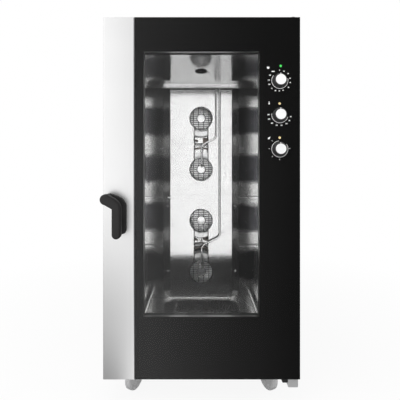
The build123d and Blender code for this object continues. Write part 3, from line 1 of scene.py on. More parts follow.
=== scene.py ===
"""Looks of a floor-standing combi oven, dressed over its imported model.

Everything is in metres unless a name or docstring says millimetres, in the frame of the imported
model: the origin is on the floor under the middle of the oven, +X is to the right of somebody
facing the door, +Y goes into the oven and +Z is up.
"""

import json
import logging
import math
from collections.abc import Iterable
from dataclasses import dataclass, field
from enum import Enum
from functools import cache

import bmesh
import bpy
from mathutils import Matrix, Vector


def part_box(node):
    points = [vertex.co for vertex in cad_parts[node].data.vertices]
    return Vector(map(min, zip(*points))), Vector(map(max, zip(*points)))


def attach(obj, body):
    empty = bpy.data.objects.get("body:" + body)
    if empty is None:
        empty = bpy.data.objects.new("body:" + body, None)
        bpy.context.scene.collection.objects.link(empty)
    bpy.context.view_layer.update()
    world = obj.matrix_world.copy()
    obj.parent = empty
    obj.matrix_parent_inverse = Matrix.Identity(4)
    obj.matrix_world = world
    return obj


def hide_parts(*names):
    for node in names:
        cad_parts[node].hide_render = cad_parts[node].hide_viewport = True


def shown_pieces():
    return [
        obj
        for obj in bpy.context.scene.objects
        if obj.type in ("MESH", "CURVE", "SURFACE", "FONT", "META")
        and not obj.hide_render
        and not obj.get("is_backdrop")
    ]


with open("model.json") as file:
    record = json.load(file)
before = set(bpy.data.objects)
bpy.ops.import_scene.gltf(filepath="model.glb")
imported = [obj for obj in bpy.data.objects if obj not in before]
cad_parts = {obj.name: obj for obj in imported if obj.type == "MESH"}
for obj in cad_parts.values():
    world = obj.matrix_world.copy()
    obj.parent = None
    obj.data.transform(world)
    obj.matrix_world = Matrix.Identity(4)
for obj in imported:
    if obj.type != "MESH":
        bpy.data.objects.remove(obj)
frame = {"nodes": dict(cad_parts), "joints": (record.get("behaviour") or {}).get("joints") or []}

LOG = logging.getLogger("combi_oven")
MM = 0.001

Point = tuple[float, float, float]
Flat = tuple[float, float]
Colour = tuple[float, float, float]
Node = bpy.types.Node
Object = bpy.types.Object
Socket = bpy.types.NodeSocket

# Angle from the top and radius in millimetres of the marks round each knob, clockwise
MODE_MARKS: tuple[Flat, ...] = (
    (-1.5, 48.4), (23.6, 47.6), (50.4, 50.6), (78.3, 49.0), (102.0, 50.1), (129.0, 52.6),
    (162.4, 49.2), (-176.9, 50.3), (-157.0, 53.0), (-134.4, 54.8), (-110.1, 53.8), (-88.4, 53.0),
    (-62.4, 53.3),
)
HEAT_MARKS: tuple[Flat, ...] = (
    (100.6, 52.2), (121.9, 53.2), (144.1, 52.8), (171.8, 50.9), (-162.9, 52.7), (-136.9, 55.3),
    (-112.3, 55.2), (-90.1, 53.9),
)
STEAM_MARKS: tuple[Flat, ...] = (
    (-43.7, 53.3), (-88.7, 50.1), (-135.3, 51.0), (-178.5, 50.0), (87.4, 46.2),
)
CORNERS = ("front_left", "front_right", "rear_left", "rear_right")


class Way(Enum):
    """Direction that a shape's own Z axis is brought onto, as an angle about an axis."""

    RIGHT = (math.pi / 2, "Y")
    BACK = (-math.pi / 2, "X")
    FRONT = (math.pi / 2, "X")

    @property
    def turn(self) -> Matrix:
        """Rotation that brings +Z onto this direction."""
        angle, about = self.value
        return Matrix.Rotation(angle, 4, about)

    def at(self, spot: Point | Vector) -> Matrix:
        """Frame at a spot whose Z axis points this way."""
        return Matrix.Translation(spot) @ self.turn


@dataclass(frozen=True)
class Layout:
    """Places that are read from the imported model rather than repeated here."""

    face_y: float
    baffle_low: Vector
    joints: dict[str, Vector]

    @classmethod
    def read(cls) -> "Layout":
        """Measures the nodes that the other classes build on.

        Returns:
            The layout.
        """
        return cls(
            face_y=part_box("door_outer_glass")[0].y,
            baffle_low=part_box("baffle_panels")[0],
            joints={j["name"]: Vector(j["pos_m"]) for j in frame["joints"] if "pos_m" in j},
        )

    @property
    def fans(self) -> list[Vector]:
        """Joints of the fans, from the top."""
        return [spot for name, spot in sorted(self.joints.items()) if name.startswith("fan_")]

    @property
    def fan_pitch(self) -> float:
        """Height from one fan to the next, which is also that of a baffle panel."""
        return self.fans[0].z - self.fans[1].z

    def depth(self, depth_mm: float) -> float:
        """Y of a depth behind the door's face, given in millimetres."""
        return self.face_y + depth_mm * MM

    def along(self, *points: Flat) -> list[Flat]:
        """Profile from radii and depths behind the door's face, both in millimetres."""
        return [(radius * MM, self.depth(depth)) for radius, depth in points]


# Node trees


class Tree:
    """A node tree under construction."""

    def __init__(self, tree: bpy.types.NodeTree) -> None:
        """Takes the tree that the nodes go into."""
        self.tree = tree

    def feed(self, target: Socket, value: object) -> None:
        """Links a socket to an input, or sets the input where the value is plain.

        Args:
            target: the input.
            value: a socket, or a plain value.
        """
        if isinstance(value, Socket):
            self.tree.links.new(value, target)
        else:
            target.default_value = value

    def node(self, kind: str, *feeds: object, **settings: object) -> Node:
        """Adds a node.

        Args:
            kind: Blender's name of the node type.
            feeds: sockets or values for its first inputs, in order.
            settings: properties in lower case, and inputs by their capitalised label, with
                underscores for blanks.

        Returns:
            The new node.
        """
        node = self.tree.nodes.new(kind)
        for index, value in enumerate(feeds):
            self.feed(node.inputs[index], value)
        for key, value in settings.items():
            if key[0].islower():
                setattr(node, key, value)
            else:
                self.feed(node.inputs[key.replace("_", " ")], value)
        return node

    def maths(self, operation: str, *values: object) -> Socket:
        """Number worked out from others."""
        return self.node("ShaderNodeMath", *values, operation=operation).outputs[0]


class ShaderTree(Tree):
    """Shader nodes of a material, a world or a group of them."""

    @classmethod
    def empty(cls, owner: bpy.types.Material | bpy.types.World) -> "ShaderTree":
        """Tree of a new material or world, without its first nodes.

        Args:
            owner: the new material or world.

        Returns:
            Its empty tree.
        """
        owner.use_nodes = True
        owner.node_tree.nodes.clear()
        return cls(owner.node_tree)

    @property
    def place(self) -> Socket:
        """Coordinates in the piece's own frame."""
        return self.node("ShaderNodeTexCoord").outputs["Object"]

    def group(self, tree: bpy.types.NodeTree, **inputs: object) -> bpy.types.bpy_prop_collection:
        """Adds a shared group and gives its outputs."""
        return self.node("ShaderNodeGroup", node_tree=tree, **inputs).outputs

    def surface(self, shader: Node, kind: str = "ShaderNodeOutputMaterial") -> None:
        """Ends the tree in a shader."""
        self.node(kind, Surface=shader.outputs[0])

    def spread(
        self, value: Socket, low: float, high: float, from_low: float = 0.3, from_high: float = 0.7
    ) -> Socket:
        """Maps a value onto a range of numbers.

        Args:
            value: the socket to map, such as a noise.
            low: result at the low end.
            high: result at the high end.
            from_low: value that gives low.
            from_high: value that gives high.

        Returns:
            The mapped socket.
        """
        return self.node("ShaderNodeMapRange", value, from_low, from_high, low, high).outputs[0]

    def blend(self, mask: Socket, off: Socket | float, on: Socket | float) -> Socket:
        """Number that is off where the mask is 0 and on where it is 1.

        Args:
            mask: a number from 0 to 1.
            off: value at 0.
            on: value at 1.

        Returns:
            The number.
        """
        node = self.node("ShaderNodeMix", mask)
        self.feed(node.inputs[2], off)
        self.feed(node.inputs[3], on)
        return node.outputs[0]

    def tint(self, mask: Socket, off: Colour | Socket, on: Colour) -> Socket:
        """Colour that is off where the mask is 0 and on where it is 1.

        Args:
            mask: a number from 0 to 1.
            off: colour at 0.
            on: colour at 1.

        Returns:
            The colour.
        """
        node = self.node("ShaderNodeMix", mask, data_type="RGBA")
        self.feed(node.inputs[6], off if isinstance(off, Socket) else (*off, 1.0))
        self.feed(node.inputs[7], (*on, 1.0))
        return node.outputs[2]

    def bump(self, height: Socket, strength: float, distance: float, **more: Socket) -> Socket:
        """Normal of a relief too fine to be modelled.

        Args:
            height: the relief.
            strength: how much of it shows.
            distance: its height.
            more: the normal under it, if there is one.

        Returns:
            The normal.
        """
        sizes = {"Strength": strength, "Distance": distance}
        return self.node("ShaderNodeBump", Height=height, **sizes, **more).outputs[0]


class ShaderGroups:
    """Effects that several materials share, each built once."""

    # Painted shade, dark bands on the rear wall level with each fan: how ragged they are, how far
    # above and below a fan they start and stop to fade, and how far behind a fan's joint the rear
    # wall starts and is reached
    HEAT_RAGGED = 0.06
    HEAT_EDGE = (0.075, 0.105)
    HEAT_WALL = (0.018, 0.026)

    @staticmethod
    def start(
        name: str, outputs: tuple[str, ...], **inputs: object
    ) -> tuple[ShaderTree, bpy.types.bpy_prop_collection]:
        """Starts a group that begins with a vector.

        Args:
            name: name of the group.
            outputs: names of its results, each a number.
            inputs: its other inputs and their defaults, each a number or a vector.

        Returns:
            The group's tree and its inputs as sockets.
        """
        tree = bpy.data.node_groups.new(name, "ShaderNodeTree")
        tree.interface.new_socket("Vector", in_out="INPUT", socket_type="NodeSocketVector")
        for label, default in inputs.items():
            kind = "NodeSocketVector" if isinstance(default, tuple) else "NodeSocketFloat"
            socket = tree.interface.new_socket(label, in_out="INPUT", socket_type=kind)
            socket.default_value = default
        for label in outputs:
            tree.interface.new_socket(label, in_out="OUTPUT", socket_type="NodeSocketFloat")
        group = ShaderTree(tree)
        return group, group.node("NodeGroupInput").outputs

    @staticmethod
    @cache
    def grain() -> bpy.types.NodeTree:
        """Long fine scratches of brushed sheet metal, with a slow cloudiness over them.

        Returns:
            A group with inputs Vector, Stretch and Fineness and outputs Scratches and Clouds.
        """
        group, given = ShaderGroups.start(
            "Brushed Grain", ("Scratches", "Clouds"), Stretch=(1.0, 1.0, 0.02), Fineness=900.0
        )
        squeeze = group.node(
            "ShaderNodeVectorMath", given["Vector"], given["Stretch"], operation="MULTIPLY"
        )
        scratches = group.node(
            "ShaderNodeTexNoise", squeeze.outputs[0], Scale=given["Fineness"], Detail=4.0,
            Roughness=0.65,
        )
        clouds = group.node("ShaderNodeTexNoise", given["Vector"], Detail=2.0, Scale=2.4)
        group.node("NodeGroupOutput", scratches.outputs[0], clouds.outputs[0])
        return group.tree

    @staticmethod
    @cache
    def scorch() -> bpy.types.NodeTree:
        """Painted shade: dark bands on the chamber's rear wall, level with each fan.

        Returns:
            A group with input Vector and output Mask.
        """
        group, given = ShaderGroups.start("Painted Shade Bands", ("Mask",))
        layout = Layout.read()
        fans, pitch = layout.fans, layout.fan_pitch
        place = group.node("ShaderNodeSeparateXYZ", given["Vector"]).outputs
        # Painted shade: dark bands level with each fan that fade above and below it, on the rear
        # wall only
        cloud = group.node("ShaderNodeTexNoise", given["Vector"], Detail=3.0, Scale=16.0).outputs[0]
        ragged = group.maths("MULTIPLY_ADD", cloud, ShaderGroups.HEAT_RAGGED, place["Z"])
        below = fans[-1].z + ShaderGroups.HEAT_RAGGED / 2 - len(fans) * pitch
        row = group.maths("PINGPONG", group.maths("SUBTRACT", ragged, below), pitch / 2)
        near = group.spread(row, 1.0, 0.0, *ShaderGroups.HEAT_EDGE)
        wall = (fans[0].y + deep for deep in ShaderGroups.HEAT_WALL)
        deep = group.spread(place["Y"], 0.0, 1.0, *wall)
        group.node("NodeGroupOutput", group.maths("MULTIPLY", near, deep))
        return group.tree

    @staticmethod
    @cache
    def skin() -> bpy.types.NodeTree:
        """Fine moulded texture of plastic, rubber and paint, with faint smudges.

        Returns:
            A group with inputs Vector, Pebble and Smudge and outputs Height and Patches.
        """
        group, given = ShaderGroups.start(
            "Moulded Skin", ("Height", "Patches"), Pebble=1400.0, Smudge=14.0
        )
        pebble = group.node(
            "ShaderNodeTexVoronoi", given["Vector"], Scale=given["Pebble"], feature="SMOOTH_F1"
        )
        smudge = group.node(
            "ShaderNodeTexNoise", given["Vector"], Scale=given["Smudge"], Detail=5.0
        )
        group.node("NodeGroupOutput", pebble.outputs["Distance"], smudge.outputs[0])
        return group.tree


# Finishes


@dataclass(frozen=True)
class Coat:
    """What every finish has: a name, a colour and a material that is built from them."""

    name: str
    colour: Colour

    def build(self) -> bpy.types.Material:
        """Makes the material.

        Returns:
            The new material.
        """
        material = bpy.data.materials.new(self.name)
        tree = ShaderTree.empty(material)
        tree.surface(self.shader(tree, tree.place))
        return material

    def scaled(self, factor: float) -> Colour:
        """The colour made darker or lighter."""
        return tuple(min(c * factor, 1.0) for c in self.colour)

    def shader(self, tree: ShaderTree, place: Socket) -> Node:
        """Adds the finish's shader.

        Args:
            tree: the material's tree.
            place: coordinates in the piece's own frame.

        Returns:
            The shader.
        """
        raise NotImplementedError


@dataclass(frozen=True)
class SheetMetal(Coat):
    """Rolled or brushed sheet metal.

    The scratches run along the axis whose stretch is small.
    """

    roughness: float = 0.3
    spread: float = 0.06
    stretch: Point = (1.0, 1.0, 0.02)
    fineness: float = 900.0
    relief: float = 0.02
    waviness: float = 0.0
    # Whether bands of painted shade darken the metal level with the fans
    scorched: bool = False
    metallic: float = 1.0

    def shader(self, tree: ShaderTree, place: Socket) -> Node:
        """Metal with scratches, clouds and, where asked for, waves and bands of painted shade.

        Args:
            tree: the material's tree.
            place: coordinates in the piece's own frame.

        Returns:
            The shader.
        """
        grain = tree.group(
            ShaderGroups.grain(), Vector=place, Stretch=self.stretch, Fineness=self.fineness
        )
        paint = tree.tint(tree.spread(grain["Clouds"], 0.0, 1.0), self.scaled(0.94), self.colour)
        # Painted shade: near-black bands on the rear wall, level with each fan
        if self.scorched:
            marks = tree.group(ShaderGroups.scorch(), Vector=place)
            paint = tree.tint(marks["Mask"], paint, (0.05, 0.05, 0.055))
        below = {}
        if self.waviness:
            waves = tree.node("ShaderNodeTexNoise", place, Scale=5.0, Detail=0.0).outputs[0]
            below["Normal"] = tree.bump(waves, self.waviness, 10 * MM)
        scratches, low = grain["Scratches"], self.roughness - self.spread
        return tree.node(
            "ShaderNodeBsdfPrincipled",
            Base_Color=paint,
            Metallic=self.metallic,
            Roughness=tree.spread(scratches, low, self.roughness + self.spread),
            Normal=tree.bump(scratches, self.relief, 0.2 * MM, **below),
        )


@dataclass(frozen=True)
class Moulded(Coat):
    """Plastic, rubber, paint or ink with a fine skin."""

    roughness: float = 0.4
    spread: float = 0.08
    relief: float = 0.15
    pebble: float = 1400.0
    lightness: float = 1.25
    specular: float = 0.5

    def shader(self, tree: ShaderTree, place: Socket) -> Node:
        """Plastic with pebbles and smudges.

        Args:
            tree: the material's tree.
            place: coordinates in the piece's own frame.

        Returns:
            The shader.
        """
        skin = tree.group(ShaderGroups.skin(), Vector=place, Pebble=self.pebble)
        smudges, low = skin["Patches"], self.roughness - self.spread
        lighter = self.scaled(self.lightness)
        return tree.node(
            "ShaderNodeBsdfPrincipled",
            Base_Color=tree.tint(tree.spread(smudges, 0.0, 1.0), self.colour, lighter),
            Specular_IOR_Level=self.specular,
            Roughness=tree.spread(smudges, low, self.roughness + self.spread),
            Normal=tree.bump(skin["Height"], self.relief, 0.1 * MM),
        )


@dataclass(frozen=True)
class Pane(Coat):
    """Clear glass that lets the lamps' light through without dimming it."""

    specular: float = 0.1

    def shader(self, tree: ShaderTree, place: Socket) -> Node:
        """Glass with a faint film, which is plainly see-through for shadows.

        Args:
            tree: the material's tree.
            place: coordinates in the piece's own frame.

        Returns:
            The shader.
        """
        skin = tree.group(ShaderGroups.skin(), Vector=place, Smudge=3.0)
        glass = tree.node(
            "ShaderNodeBsdfPrincipled",
            Base_Color=tree.tint(skin["Patches"], self.scaled(0.985), self.colour),
            IOR=1.45,
            Transmission_Weight=1.0,
            Specular_IOR_Level=self.specular,
            Roughness=0.0,
        )
        clear = tree.node("ShaderNodeBsdfTransparent", (*self.colour, 1.0))
        shadow = tree.node("ShaderNodeLightPath").outputs["Is Shadow Ray"]
        return tree.node("ShaderNodeMixShader", shadow, glass.outputs[0], clear.outputs[0])


@dataclass(frozen=True)
class Lamp(Coat):
    """Small lit plastic lens."""

    glow: float

    def shader(self, tree: ShaderTree, place: Socket) -> Node:
        """Plastic that glows in its own colour.

        Args:
            tree: the material's tree.
            place: coordinates in the piece's own frame.

        Returns:
            The shader.
        """
        skin = tree.group(ShaderGroups.skin(), Vector=place, Smudge=160.0)
        paint = tree.tint(tree.spread(skin["Patches"], 0.0, 1.0), self.scaled(0.6), self.colour)
        glow = {"Emission Color": paint, "Emission Strength": self.glow}
        return tree.node("ShaderNodeBsdfPrincipled", Base_Color=paint, Roughness=0.2, **glow)


@dataclass(frozen=True)
class Wool(Coat):
    """Fibrous insulation."""

    def shader(self, tree: ShaderTree, place: Socket) -> Node:
        """Rough tangled fibres.

        Args:
            tree: the material's tree.
            place: coordinates in the piece's own frame.

        Returns:
            The shader.
        """
        fibres = tree.node(
            "ShaderNodeTexNoise", place, Scale=160.0, Detail=8.0, Roughness=0.8, Distortion=2.0
        ).outputs[0]
        return tree.node(
            "ShaderNodeBsdfPrincipled",
            Base_Color=tree.tint(tree.spread(fibres, 0.0, 1.0), self.scaled(0.5), self.colour),
            Roughness=0.95,
            Normal=tree.bump(fibres, 0.8, 2 * MM),
        )


def grey(level: float) -> Colour:
    """Neutral colour."""
    return (level, level, level)


# Stretch of a grain without a direction and of upright scratches, and the colour of the panels
PLAIN: Point = (1.0, 1.0, 1.0)
UPRIGHT: Point = (1.0, 1.0, 0.015)
STEEL: Colour = (0.66, 0.66, 0.65)


class Finish(Enum):
    """Every finish on the oven."""

    STILE = SheetMetal("brushed_stile", grey(0.93), 0.34, 0.03, UPRIGHT, 700.0, 0.03)
    PANEL = SheetMetal("brushed_panel", STEEL, 0.32, 0.06, UPRIGHT, 700.0, 0.03)
    TOP = SheetMetal("brushed_top", STEEL, 0.32, 0.06, (0.015, 1.0, 1.0), 700.0, 0.03)
    # The liner carries painted shade: dark bands on its rear wall level with the fans
    LINER = SheetMetal(
        "bright_liner", (0.62, 0.62, 0.615), 0.15, 0.02, (1.0, 1.0, 0.2), 300.0, 0.002, 0.02,
        scorched=True, metallic=0.88,
    )
    BAFFLE = SheetMetal(
        "bright_baffle", grey(0.54), 0.13, 0.01, (1.0, 1.0, 0.05), 500.0, 0.002, 0.01,
        metallic=0.93,
    )
    WIRE = SheetMetal("bright_wire", grey(0.12), 0.2, 0.03, PLAIN, 900.0, 0.01)
    TUBE = SheetMetal("bright_tube", grey(0.72), 0.2, 0.04, (1.0, 1.0, 0.1), 600.0, 0.01)
    FAN = SheetMetal("pressed_fan", grey(0.8), 0.30, 0.05, PLAIN, 300.0, 0.02, metallic=0.6)
    NUT = SheetMetal("bright_nut", grey(0.95), 0.3, 0.05, PLAIN, 300.0, 0.02)
    ELEMENT = SheetMetal("heat_tinted_tube", (0.22, 0.19, 0.17), 0.4, 0.1, PLAIN, 120.0, 0.05)
    SPACER = SheetMetal("anodised_spacer", grey(0.30), 0.35, 0.04, (1.0, 1.0, 0.05), 500.0, 0.01)
    ZINC = SheetMetal(
        "zinc_plate", (0.92, 0.925, 0.93), 0.42, 0.08, PLAIN, 60.0, 0.03, metallic=0.6
    )
    BRASS = SheetMetal("cast_brass", (0.75, 0.55, 0.25), 0.35, 0.1, PLAIN, 200.0, 0.06)
    ENAMEL = Moulded("black_enamel", grey(0.004), 0.5, 0.05, 0.0, 900.0, specular=0.0)
    DOOR_BACK = SheetMetal("dark_door_back", grey(0.06), 0.34, 0.05, UPRIGHT, 700.0, 0.02)
    HANDLE = Moulded(
        "black_handle", (0.020, 0.0195, 0.0195), 0.42, 0.05, 0.2, 1500.0, specular=0.25
    )
    SKIRT = Moulded("dark_skirt", (0.035, 0.035, 0.036), 0.3, 0.06, 0.1, 1500.0, specular=0.35)
    CAP = Moulded("satin_cap", grey(0.86), 0.3, 0.05, 0.05, 1200.0, 1.08)
    RUBBER = Moulded("black_rubber", grey(0.025), 0.62, 0.1, 0.3, 700.0)
    TREAD = Moulded("grey_tread", (0.90, 0.90, 0.91), 0.5, 0.1, 0.25, 600.0)
    HUB = Moulded("white_hub", (0.94, 0.94, 0.95), 0.45, 0.06, 0.15, 800.0, 1.08)
    MOTOR = Moulded("motor_paint", (0.03, 0.035, 0.04), 0.42, 0.08, 0.3, 500.0)
    CONTACTOR = Moulded("contactor_case", (0.55, 0.55, 0.52), 0.5, 0.06, 0.2, 900.0, 1.1)
    BOARD = Moulded("green_board", (0.01, 0.12, 0.05), 0.4, 0.08, 0.4, 300.0)
    INK = Moulded("white_ink", grey(0.93), 0.5, 0.05, 0.05, 1500.0, 1.04)
    OUTER_GLASS = Pane("door_glass", grey(0.98))
    INNER_GLASS = Pane("chamber_glass", grey(0.98))
    GREEN = Lamp("green_lamp", (0.10, 0.85, 0.16), 0.9)
    AMBER = Lamp("amber_lamp", (1.0, 0.80, 0.42), 0.85)
    WOOL = Wool("mineral_wool", (0.62, 0.5, 0.27))

    @property
    def material(self) -> bpy.types.Material:
        """The finish's material, made when it is first asked for."""
        found = bpy.data.materials.get(self.value.name)
        return found or self.value.build()


def dress(finishes: dict[str, Finish]) -> None:
    """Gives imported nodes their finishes.

    Args:
        finishes: the finish of each node.
    """
    for node, finish in finishes.items():
        mesh = frame["nodes"][node].data
        mesh.materials.clear()
        mesh.materials.append(finish.material)


def settle(piece: Object, body: str, node: str | None = None) -> Object:
    """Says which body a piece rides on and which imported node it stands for, if any.

    Args:
        piece: the new piece.
        body: the body that carries it.
        node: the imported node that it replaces.

    Returns:
        The piece.
    """
    if node:
        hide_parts(node)
    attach(piece, body)
    return piece


# Meshes

# Radius under which a point of a profile lies on the axis, distance under which two corners are
# one, and the least share of a side's inset that a corner moves by
ON_AXIS = 1e-7
SAME_SPOT = 0.002 * MM
SHARPEST_CORNER = 0.4


def mm(*points: Flat) -> list[Flat]:
    """Points given in millimetres."""
    return [(x * MM, y * MM) for x, y in points]


def mirrored(*points: Flat) -> list[Flat]:
    """Closed profile from one half of it and its mirror image over height 0."""
    return [*points, *((radius, -height) for radius, height in reversed(points))]


def moved(outline: Iterable[Flat], spot: Vector) -> list[Flat]:
    """Outline moved to a spot, as seen from the front."""
    return [(spot.x + x, spot.z + z) for x, z in outline]


def arc(centre: Flat, radius: float, start_deg: float, end_deg: float, steps: int) -> list[Flat]:
    """Points along an arc, both ends included.

    Args:
        centre: its centre.
        radius: its radius.
        start_deg: angle of its first point.
        end_deg: angle of its last point.
        steps: how many steps between them.

    Returns:
        The points.
    """
    points = []
    for i in range(steps + 1):
        angle = math.radians(start_deg + (end_deg - start_deg) * i / steps)
        points.append((centre[0] + radius * math.cos(angle), centre[1] + radius * math.sin(angle)))
    return points


def inset(outline: list[Flat], distance: float) -> list[Flat]:
    """Moves every side of a counter-clockwise outline inwards.

    Args:
        outline: its corners.
        distance: how far the sides move.

    Returns:
        The new corners, as many as before.
    """
    corners = []
    for i, corner in enumerate(outline):
        here = Vector(corner)
        before = (here - Vector(outline[i - 1])).normalized()
        after = (Vector(outline[(i + 1) % len(outline)]) - here).normalized()
        inwards = Vector((-before.y - after.y, before.x + after.x)).normalized()
        slant = max(SHARPEST_CORNER, inwards.dot(Vector((-after.y, after.x))))
        corners.append(tuple(here + inwards * distance / slant))
    return corners


class Shape:
    """The working mesh of one piece."""

    def __init__(self, name: str, sharp_deg: float = 32.0) -> None:
        """Starts an empty mesh.

        Args:
            name: name of the piece.
            sharp_deg: angle above which an edge looks sharp.
        """
        self.name = name
        self.sharp_deg = sharp_deg
        self.work = bmesh.new()

    def turned(self, profile: list[Flat], place: Matrix, steps: int = 64) -> None:
        """Adds a turned shape.

        Args:
            profile: (radius, height) points from one end of the axis to the other.
            place: where the shape's own Z axis and origin go.
            steps: number of sides.
        """
        rings = []
        for radius, height in profile:
            ring = []
            for i in range(1 if radius < ON_AXIS else steps):
                angle = 2 * math.pi * i / steps
                spot = Vector((radius * math.cos(angle), radius * math.sin(angle), height))
                ring.append(self.work.verts.new(place @ spot))
            rings.append(ring)
        for low, high in zip(rings, rings[1:]):
            self.band(low, high)

    def band(self, low: list[bmesh.types.BMVert], high: list[bmesh.types.BMVert]) -> None:
        """Joins two rings with faces, of which one may be a single point.

        Args:
            low: the first ring.
            high: the next ring, counted the same way round.
        """
        count = max(len(low), len(high))
        for i in range(count if count > 1 else 0):
            j = (i + 1) % count
            if len(low) == 1:
                corners = (low[0], high[i], high[j])
            elif len(high) == 1:
                corners = (low[i], low[j], high[0])
            else:
                corners = (low[i], low[j], high[j], high[i])
            self.work.faces.new(corners)

    def plate(
        self, outline: list[Flat], thickness: float, place: Matrix, edge: float = 0.0,
        steps: int = 3, both: bool = True,
    ) -> None:
        """Adds a plate with rounded edges.

        Args:
            outline: the plate's corners, counter-clockwise in its own XY plane.
            thickness: how far it rises along its own Z.
            place: where the plate's own frame goes.
            edge: radius of its rounded edges.
            steps: faces across each rounded edge.
            both: whether the lower edges are rounded too.
        """
        turns = [math.pi / 2 * step / steps for step in range(steps + 1)] if edge > 0.0 else [0.0]
        rise = [(edge * (1 - math.cos(t)), thickness - edge * (1 - math.sin(t))) for t in turns]
        fall = [(side, thickness - height) for side, height in reversed(rise)]
        rings = [
            [self.work.verts.new(place @ Vector((x, y, height))) for x, y in inset(outline, side)]
            for side, height in (fall if both else [(0.0, 0.0)]) + rise
        ]
        self.work.faces.new(rings[0][::-1])
        self.work.faces.new(rings[-1])
        for low, high in zip(rings, rings[1:]):
            self.band(low, high)

    def mesh(self) -> bpy.types.Mesh:
        """Ends the shape as a smooth-shaded mesh with sharp edges above its angle.

        Returns:
            The mesh.
        """
        bmesh.ops.remove_doubles(self.work, verts=self.work.verts, dist=SAME_SPOT)
        bmesh.ops.recalc_face_normals(self.work, faces=self.work.faces)
        for face in self.work.faces:
            face.smooth = True
        limit = math.radians(self.sharp_deg)
        for edge in self.work.edges:
            edge.smooth = len(edge.link_faces) == 2 and edge.calc_face_angle(0.0) < limit
        mesh = bpy.data.meshes.new(self.name)
        self.work.to_mesh(mesh)
        self.work.free()
        return mesh

    def publish(self, finish: Finish, body: str, node: str | None = None) -> Object:
        """Puts the shape in the scene.

        Args:
            finish: its finish.
            body: the body that carries it.
            node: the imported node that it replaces.

        Returns:
            The new piece.
        """
        mesh = self.mesh()
        mesh.materials.append(finish.material)
        return settle(place_in_scene(self.name, mesh), body, node)


def place_in_scene(name: str, data: bpy.types.ID) -> Object:
    """Adds an object with a mesh, lamp or camera.

    Args:
        name: its name.
        data: the mesh, lamp or camera.

    Returns:
        The object.
    """
    item = bpy.data.objects.new(name, data)
    bpy.context.scene.collection.objects.link(item)
    return item


def routes(*lines: Iterable[Point]) -> bpy.types.Mesh:
    """Mesh of edges along one or more routes, where a route may be a single point.

    Args:
        lines: the routes.

    Returns:
        The mesh.
    """
    verts: list[Point] = []
    edges: list[tuple[int, int]] = []
    for line in lines:
        first = len(verts)
        verts += [tuple(spot) for spot in line]
        edges += [(i, i + 1) for i in range(first, len(verts) - 1)]
    mesh = bpy.data.meshes.new("routes")
    mesh.from_pydata(verts, edges, [])
    return mesh


# Geometry node trees


